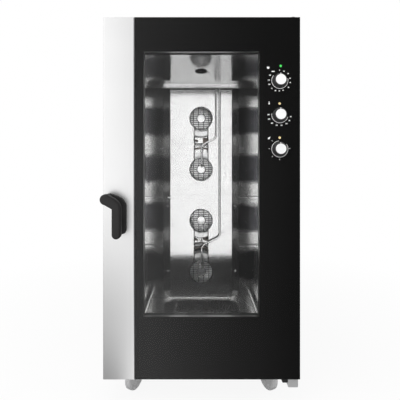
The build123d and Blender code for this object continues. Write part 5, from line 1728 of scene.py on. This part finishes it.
@dataclass
class Castors:
    """Four swivel castors, with sizes in millimetres."""

    layout: Layout
    wheel_radius: float = 62.5
    wheel_width: float = 36.0
    trail: float = 32.0
    leg_gap: float = 20.3
    leg_thickness: float = 4.0
    bolt_span: Flat = (40.0, 30.0)

    def build(self) -> None:
        """Makes the forks and wheels and dresses the plates."""
        dress({"castor_plates": Finish.ZINC})
        for side in CORNERS:
            place = self.place(side)
            hub = Matrix.Translation((0.0, self.trail * MM, self.wheel_radius * MM))
            axle = place @ hub @ Way.RIGHT.turn
            self.fork(side, place, axle)
            self.wheel(side, axle)
        self.bolts()

    def place(self, side: str) -> Matrix:
        """Frame of a castor: Z on its swivel axis, Y along its trail.

        Args:
            side: which castor.

        Returns:
            The frame.
        """
        swivel = self.layout.joints[f"swivel_{side}"]
        axle = self.layout.joints[f"roll_{side}"]
        turn = math.atan2(axle.y - swivel.y, axle.x - swivel.x) - math.pi / 2
        spot = Matrix.Translation((swivel.x, swivel.y, 0.0))
        return spot @ Matrix.Rotation(turn, 4, "Z")

    def fork(self, side: str, place: Matrix, axle: Matrix) -> None:
        """Pressed fork with a domed crown, two legs and the axle bolt.

        Args:
            side: which castor.
            place: frame of the castor.
            axle: frame of its axle.
        """
        shape = Shape(f"castor_fork_{side}_press", 40.0)
        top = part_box(f"castor_fork_{side}")[1].z / MM
        dome = mm(
            (6.5, top - 4), (34, top - 4), (36, top - 3), (36, top - 1), (34, top), (6.5, top),
            (6.5, top - 4),
        )
        shape.turned(dome, place, 48)
        leg = mm(
            *arc((self.trail, self.wheel_radius), 13.0, 200.0, 350.0, 14),
            (32, top - 2), (32, top), (-26, top), (-26, top - 8),
        )
        sideways = Matrix(((0, 0, 1, 0), (1, 0, 0, 0), (0, 1, 0, 0), (0, 0, 0, 1)))
        half = self.leg_gap + self.leg_thickness
        for x in (-half, self.leg_gap):
            upright = place @ Matrix.Translation((x * MM, 0.0, 0.0)) @ sideways
            shape.plate(leg, self.leg_thickness * MM, upright, 1.2 * MM, 3)
        bolt = mirrored(
            (0, -half - 5), (7, -half - 5), (8.5, -half - 4), (8.5, -half), (5, -half)
        )
        shape.turned(mm(*bolt), axle, 24)
        shape.publish(Finish.ZINC, f"swivel_{side}", f"castor_fork_{side}")

    def wheel(self, side: str, axle: Matrix) -> None:
        """Pale tyre on a white hub.

        Args:
            side: which castor.
            axle: frame of its axle.
        """
        half = self.wheel_width / 2
        tyre = mirrored(
            (46, -half + 3), (50, -half), (55, -half), (59.5, -half + 1.6), (61.9, -half + 5),
            (self.wheel_radius, -half + 9),
        )
        hub = mirrored(
            (5.2, -20), (11, -20), (12, -19), (13, -11), (38, -9), (44, -half + 4),
            (46.2, -half + 3.2),
        )
        for name, profile, steps, finish, node in (
            ("tyre", tyre, 96, Finish.TREAD, f"castor_wheel_{side}"),
            ("hub", hub, 64, Finish.HUB, None),
        ):
            shape = Shape(f"castor_{name}_{side}", 40.0)
            shape.turned(mm(*profile, profile[0]), axle, steps)
            shape.publish(finish, f"wheel_{side}", node)

    def bolts(self) -> None:
        """Hexagonal heads under the castor plates."""
        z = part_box("castor_plates")[1].z - 4 * MM
        across, along = (span * MM for span in self.bolt_span)
        swivels = [self.layout.joints[f"swivel_{side}"] for side in CORNERS]
        points = [
            (swivel.x + x, swivel.y + y, z)
            for swivel in swivels for x in (-across, across) for y in (-along, along)
        ]
        fasten("castor_bolts", points, Finish.ZINC, 7.5, 5.0, (0.0, 0.0, -1.0), sides=6)


# Studio


@dataclass
class Studio:
    """Pale floor, soft lights and the camera.

    A card is the brightness of the surroundings over the compass as a mirror sees them, as
    angles from straight ahead and levels. A fade is a distance where something starts and one
    where it is complete.
    """

    layout: Layout
    camera_distance: float = 1560 * MM
    camera_x: float = -7 * MM
    camera_height: float = 1199 * MM
    lens_mm: float = 29.63
    horizon_shift: float = -0.1
    floor_size: float = 40.0
    floor_glow: float = 0.9
    floor_grey: float = 0.36
    floor_pale: float = 0.92
    floor_fade: Flat = (0.9, 2.6)
    hidden_floor_fade: Flat = (1.4, 3.6)
    low_card_fade: Flat = (0.8, 5.2)
    high_card_rise: float = 0.32
    fill: float = 0.5
    pane_glint: float = 0.03
    high_card: tuple[Flat, ...] = (
        (-80.0, 0.9), (-40.0, 1.4), (-14.0, 1.4), (-11.5, 0.62), (-8.6, 0.53), (-1.7, 0.37),
        (5.2, 0.24), (10.6, 0.17), (16.0, 0.14), (40.0, 0.14), (70.0, 0.5), (179.0, 0.75),
    )
    level_card: tuple[Flat, ...] = (
        (-80.0, 0.8), (-40.0, 1.3), (-14.0, 1.25), (-11.5, 1.1), (-8.6, 0.98), (-1.7, 0.66),
        (5.2, 0.41), (10.6, 0.28), (16.0, 0.15), (40.0, 0.15), (70.0, 0.6), (179.0, 0.75),
    )
    low_card: tuple[Flat, ...] = (
        (-80.0, 0.25), (-40.0, 0.3), (-14.0, 0.3), (-11.5, 1.0), (-8.6, 0.98), (-1.7, 0.66),
        (5.2, 0.41), (10.6, 0.28), (16.0, 0.15), (40.0, 0.15), (70.0, 0.4), (179.0, 0.5),
    )
    inner_card: tuple[Flat, ...] = (
        (-60.0, 0.25), (-25.0, 0.6), (-12.0, 2.5), (12.0, 2.5), (25.0, 0.6), (60.0, 0.25),
        (179.0, 0.4),
    )

    def build(self) -> None:
        """Makes the studio."""
        self.camera()
        self.world()
        self.floor()
        self.softbox("top_softbox", (-0.6, -1.9, 3.6), (0.0, 0.1, 1.2), 2.6, 60.0)
        self.softbox("left_softbox", (-3.2, -2.0, 1.9), (0.0, 0.0, 1.0), 1.8, 35.0)
        self.softbox("right_softbox", (3.2, -1.6, 1.7), (0.0, 0.0, 1.0), 1.8, 22.0)
        bpy.context.scene.view_settings.view_transform = "Standard"

    def camera(self) -> None:
        """Camera level with the upper part of the door, looking straight in."""
        data = bpy.data.cameras.new("camera")
        data.lens = self.lens_mm
        data.sensor_width = 36.0
        data.shift_y = self.horizon_shift
        data.clip_start = 0.05
        data.clip_end = 200.0
        camera = place_in_scene("camera", data)
        distance = self.layout.face_y - self.camera_distance
        camera.location = (self.camera_x, distance, self.camera_height)
        camera.rotation_euler = (math.pi / 2, 0.0, 0.0)
        bpy.context.scene.camera = camera

    def world(self) -> None:
        """White background, cards in front for reflections and a soft fill for light."""
        world = bpy.data.worlds.new("studio")
        tree = ShaderTree.empty(world)
        rays = tree.node("ShaderNodeLightPath").outputs
        way = tree.node("ShaderNodeTexCoord").outputs["Generated"]
        rise = tree.node("ShaderNodeSeparateXYZ", way).outputs["Z"]
        height = tree.spread(rise, 0.0, 1.0, 0.0, self.high_card_rise)
        card = self.cards(tree, way, height, self.high_card)
        hidden = tree.blend(rays["Is Glossy Ray"], self.fill, card)
        strength = tree.blend(self.plainly_seen(tree, rays, 1), hidden, 1.0)
        background = tree.node("ShaderNodeBackground", (*grey(1.0), 1.0), strength)
        tree.surface(background, "ShaderNodeOutputWorld")
        bpy.context.scene.world = world

    def plainly_seen(
        self, tree: ShaderTree, rays: bpy.types.bpy_prop_collection, own: int
    ) -> Socket:
        """Mask of rays from the camera that met nothing but clear glass on the way.

        Args:
            tree: the tree that the nodes go into.
            rays: the outputs of its light path node.
            own: steps that the surface itself adds to a ray's depth, 1 for the world.

        Returns:
            The mask.
        """
        others = tree.maths("SUBTRACT", rays["Ray Depth"], rays["Transmission Depth"])
        none = tree.maths("LESS_THAN", others, own + 0.5)
        straight = tree.maths("MAXIMUM", rays["Is Camera Ray"], rays["Is Transmission Ray"])
        return tree.maths("MULTIPLY", none, straight)

    def cards(
        self, tree: ShaderTree, vector: Socket, away: Socket, outer: tuple[Flat, ...]
    ) -> Socket:
        """Brightness of the surroundings as a mirror sees them.

        Rays that never went through glass see the outer cards, as the door's face does. Rays that
        crossed all four faces of both panes on the way in and out come from the chamber and see the
        inner card. Those between come from the panes' other faces and see next to nothing.

        Args:
            tree: the tree that the nodes go into.
            vector: direction, or a place on the floor that lies in that direction.
            away: how far from the horizon that is.
            outer: the outer card away from the horizon.

        Returns:
            The brightness.
        """
        split = tree.node("ShaderNodeSeparateXYZ", vector).outputs
        back = tree.maths("MULTIPLY", split["Y"], -1.0)
        side = tree.maths("ARCTAN2", split["X"], back)
        share = tree.spread(side, 0.0, 1.0, -math.pi, math.pi)
        crossed = tree.node("ShaderNodeLightPath").outputs["Transmission Depth"]
        outside = tree.maths("LESS_THAN", crossed, 0.5)
        inside = tree.maths("GREATER_THAN", crossed, 7.5)
        level = tree.blend(
            away, self.ramp(tree, share, self.level_card), self.ramp(tree, share, outer)
        )
        chamber = tree.blend(inside, self.pane_glint, self.ramp(tree, share, self.inner_card))
        return tree.blend(outside, chamber, level)

    def ramp(self, tree: ShaderTree, share: Socket, card: tuple[Flat, ...]) -> Socket:
        """Brightness of a card at a share of the compass, which starts and ends behind.

        Args:
            tree: the tree that the nodes go into.
            share: the share of the compass.
            card: angles and levels.

        Returns:
            The brightness.
        """
        node = tree.node("ShaderNodeValToRGB", share)
        stops = node.color_ramp.elements
        stops.remove(stops[1])
        stops[0].color = (*grey(card[-1][1]), 1.0)
        for angle, level in card:
            stops.new((angle + 180.0) / 360.0).color = (*grey(level), 1.0)
        return node.outputs["Color"]

    def floor(self) -> None:
        """Pale floor that keeps the oven's shadow and fades into the surroundings."""
        half = self.floor_size / 2
        mesh = bpy.data.meshes.new("floor")
        corners = [(-half, -half, 0.0), (half, -half, 0.0), (half, half, 0.0), (-half, half, 0.0)]
        mesh.from_pydata(corners, [], [(0, 1, 2, 3)])
        material = bpy.data.materials.new("studio_floor")
        tree = ShaderTree.empty(material)
        place = tree.place
        distance = tree.node("ShaderNodeVectorMath", place, operation="LENGTH").outputs["Value"]
        rays = tree.node("ShaderNodeLightPath").outputs
        seen, mirror = self.plainly_seen(tree, rays, 0), rays["Is Glossy Ray"]
        near = tree.spread(distance, self.floor_glow, 1.0, *self.floor_fade)
        far = tree.spread(distance, 0.0, 1.0, *self.hidden_floor_fade)
        fade = tree.blend(seen, tree.blend(mirror, far, 1.0), near)
        pale = tree.blend(seen, self.floor_grey, self.floor_pale)
        paint = tree.node("ShaderNodeBsdfDiffuse", pale)
        viewer = (self.camera_x, self.layout.face_y + self.camera_distance, 0.0)
        way = tree.node("ShaderNodeVectorMath", place, viewer, operation="SUBTRACT").outputs[0]
        nearby = tree.spread(distance, 1.0, 0.0, *self.low_card_fade)
        shine = tree.blend(mirror, 1.0, self.cards(tree, way, nearby, self.low_card))
        glow = tree.node("ShaderNodeEmission", Strength=tree.blend(seen, shine, 1.0))
        mix = tree.node("ShaderNodeMixShader", fade, paint.outputs[0], glow.outputs[0])
        tree.surface(mix)
        mesh.materials.append(material)
        place_in_scene("floor", mesh)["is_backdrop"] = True

    def softbox(self, name: str, place: Point, target: Point, size: float, power: float) -> None:
        """Large soft lamp.

        Args:
            name: name of the lamp.
            place: where it stands.
            target: what it points at.
            size: length of its sides.
            power: its power in watts.
        """
        data = bpy.data.lights.new(name, "AREA")
        data.size = size
        data.energy = power
        lamp = place_in_scene(name, data)
        lamp.visible_glossy = False
        lamp.visible_transmission = False
        lamp.location = place
        aim = Vector(target) - Vector(place)
        lamp.rotation_euler = aim.to_track_quat("-Z", "Y").to_euler()


def main() -> None:
    """Builds the scene in order."""
    logging.basicConfig(level=logging.INFO, format="%(name)s: %(message)s")
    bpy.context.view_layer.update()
    layout = Layout.read()
    Studio(layout).build()
    for part in (Cabinet, Chamber, FanBank, Door, Handle, ControlPanel, Castors):
        part(layout).build()
        LOG.info("%s is dressed", part.__name__)
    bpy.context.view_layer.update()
    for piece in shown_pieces():
        LOG.info("piece %s", piece.name)


if __name__ == "__main__":
    main()
